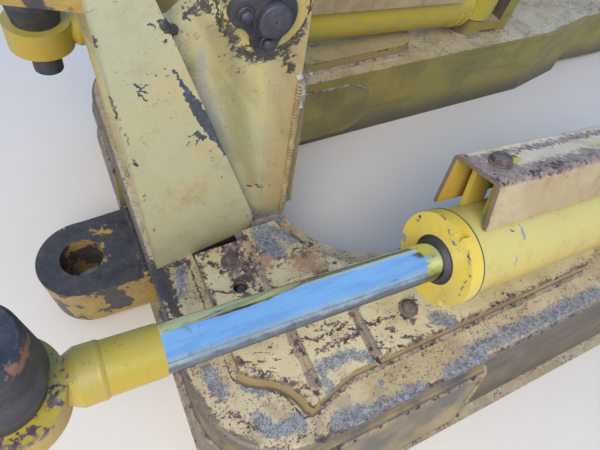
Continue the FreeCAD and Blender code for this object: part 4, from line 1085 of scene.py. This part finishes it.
def on_cylinder(side, x, y, z, turn=0):
    """A point given along the cylinder from its anchor pin, in millimetres, across it and above
    it, turned about it in degrees."""
    point = Matrix.Rotation(math.radians(turn), 3, "X") @ Vector((x, y, z)) / 1000
    point = Matrix.Rotation(-cylinder_pitch[side], 3, "Y") @ point + anchor_pin
    return point if side == "left" else Vector((point.x, -point.y, point.z))


def round_cylinder(side, x, radius):
    return [on_cylinder(side, x, 0, radius, 10 * share) for share in range(37)]


def off_saddle(side):
    """The way straight up from the saddles, which are turned a little round the barrel."""
    return (on_cylinder(side, 0, 0, 1, guard_turn) - on_cylinder(side, 0, 0, 0, guard_turn)).normalized()


guard_turn = 16.4
barrel_radius = 60
saddles = (508, 162)
seam_at = 566.2
for side, eye_reach in (("left", 1074), ("right", 968)):
    along = on_cylinder(side, 1, 0, 0) - on_cylinder(side, 0, 0, 0)
    tube_welds = bmesh.new()
    for x, radius in ((61, barrel_radius - 1), (84, barrel_radius)):
        path = round_cylinder(side, x, radius)
        for start in range(0, 36, 9):
            outward = path[start + 4] - on_cylinder(side, x, 0, 0)
            weld(tube_welds, path[start:start + 10], outward.normalized(), 4, 3, 61 + start)
    for x in saddles:
        for y in (5.5, -38.5):
            height = math.sqrt(barrel_radius ** 2 - y ** 2)
            path = [on_cylinder(side, x + run, y, height, guard_turn) for run in (-18, -9, 0, 9, 18)]
            weld(tube_welds, path, off_saddle(side), 3.5, 3.5, 65)
    add_piece(side + "_tube_welds", tube_welds, tube, side + "_cylinder")

    bead = bmesh.new()
    turned(bead, on_cylinder(side, eye_reach - 77, 0, 0), along, [
        (0.0262, -0.0042), (0.0267, -0.0034), (0.0272, -0.002), (0.0279, -0.0008), (0.0282, 0.0006),
        (0.0282, 0.0018), (0.028, 0.003), (0.0277, 0.004)], sides=72)
    add_piece(side + "_eye_weld", bead, eye, side + "_cylinder_rod")

    groove = bmesh.new()
    rings = [[on_cylinder(side, seam_at + step, 0, radius, 5 * share) for share in range(72)]
             for step, radius in ((0, 62), (0, 64), (0.5, 64.4), (2, 64.3), (2, 62))]
    skin(groove, rings, loop=True)
    add_piece(side + "_gland_seam", groove, rubber, side + "_cylinder")


# Guards: bent channels over the oil pipes, bolted to their saddles through slots; stepped on
# and knocked, so the bends and the front edge are rusted through the paint
guard = Finish("guard_enamel")
tone = guard.noise(9, 4, 0.6)
upward = guard.facing("Z").step(0.35, 0.8)
sand = guard.mix(tone.step(0.3, 0.8), (0.53, 0.415, 0.23), (0.45, 0.33, 0.17))
pale_top = guard.mix(tone.step(0.35, 0.65), (0.76, 0.655, 0.4), (0.64, 0.52, 0.38))
runs = guard.noise(17, 5, 0.7, 0.5, shift=1.4, place=guard.stretched(1.2, 1.2, 0.6))
lining = guard.facing("Y").step(0.2, 0.5) * (0.268 - guard.axis("Y")).step(0, 0.01)
lining = lining * guard.axis("Y").step(0, 0.05)
sand = guard.coats(
    sand, (runs.step(0.45, 0.85) * 0.7, (0.36, 0.245, 0.115)), (lining * 0.85, (0.55, 0.37, 0.045)))
straw = guard.noise(12, 3, 0.6, shift=4.8)
pale_top = guard.mix(straw.step(0.5, 0.75) * 0.8, pale_top, (0.62, 0.52, 0.24))
cut_end = guard.facing("X").step(0.6, 0.9)
slot_end = guard.marks((268, 254, 446, 261, 252, 445, 9), fray=0.002).step(0, 0.25)
slot_shade = guard.marks((258, 248, 444, 5), fray=0.002).step(0, 0.4)
bend_rust = guard.marks(
    (331, 284, 458, -96, 284, 398, 26), (326, 230, 452, 318, 276, 458, 16),
    (340, 238, 449, -96, 238, 388, 9), (340, 288, 452, 340, 316, 400, 11),
    (305, 262, 455, 285, 262, 452, 24), (340, 222, 440, 340, 219, 425, 10), fray=0.007)
band = (bend_rust + guard.noise(32, 4, 0.65, shift=2.6) * 0.5 - 0.25).step(0.1, 0.45)
band_tone = guard.noise(120, 3).step(0.25, 0.75)
guard_paint = guard.coats(
    sand,
    (upward, pale_top),
    (cut_end * 0.85, (0.15, 0.105, 0.085)),
    (band * 0.85 * upward, guard.mix(band_tone, (0.165, 0.11, 0.105), (0.3, 0.225, 0.215))),
    (slot_end, (0.62, 0.45, 0.04)),
    (slot_shade, (0.03, 0.028, 0.03)))
leg_foot = guard.marks((342, 318, 400, -96, 318, 336, 7), (342, 219, 404, -96, 219, 344, 5))
worn_enamel(
    guard, guard_paint,
    rust=guard.edge(0.006) * 0.27 + bend_rust * 0.46 * (1 - slot_end) + upward * 0.08
    + leg_foot.step(0, 0.8) * 0.44 + guard.noise(9, 3, shift=5).step(0.55, 0.85) * 0.1,
    clay=guard.nook(0.03) * 0.3,
    fresh=guard.noise(20, 2, shift=8).step(0.6, 0.9) * 0.4,
    specks=upward * 0.1)
dress(guard, *both("guard"))

for side in ("left", "right"):
    guard_bolts = bmesh.new()
    upright = off_saddle(side)
    for x, turn in zip(saddles, (20, 5)):
        foot = on_cylinder(side, x + 3, -16.5, 123, guard_turn)
        washer(guard_bolts, foot, upright, 0.0155, 0.0026)
        hex_head(guard_bolts, foot + upright * 0.0026, upright, 0.0235, 0.0078, turn)
    add_piece(side + "_guard_bolts", guard_bolts, bolt, side + "_cylinder")
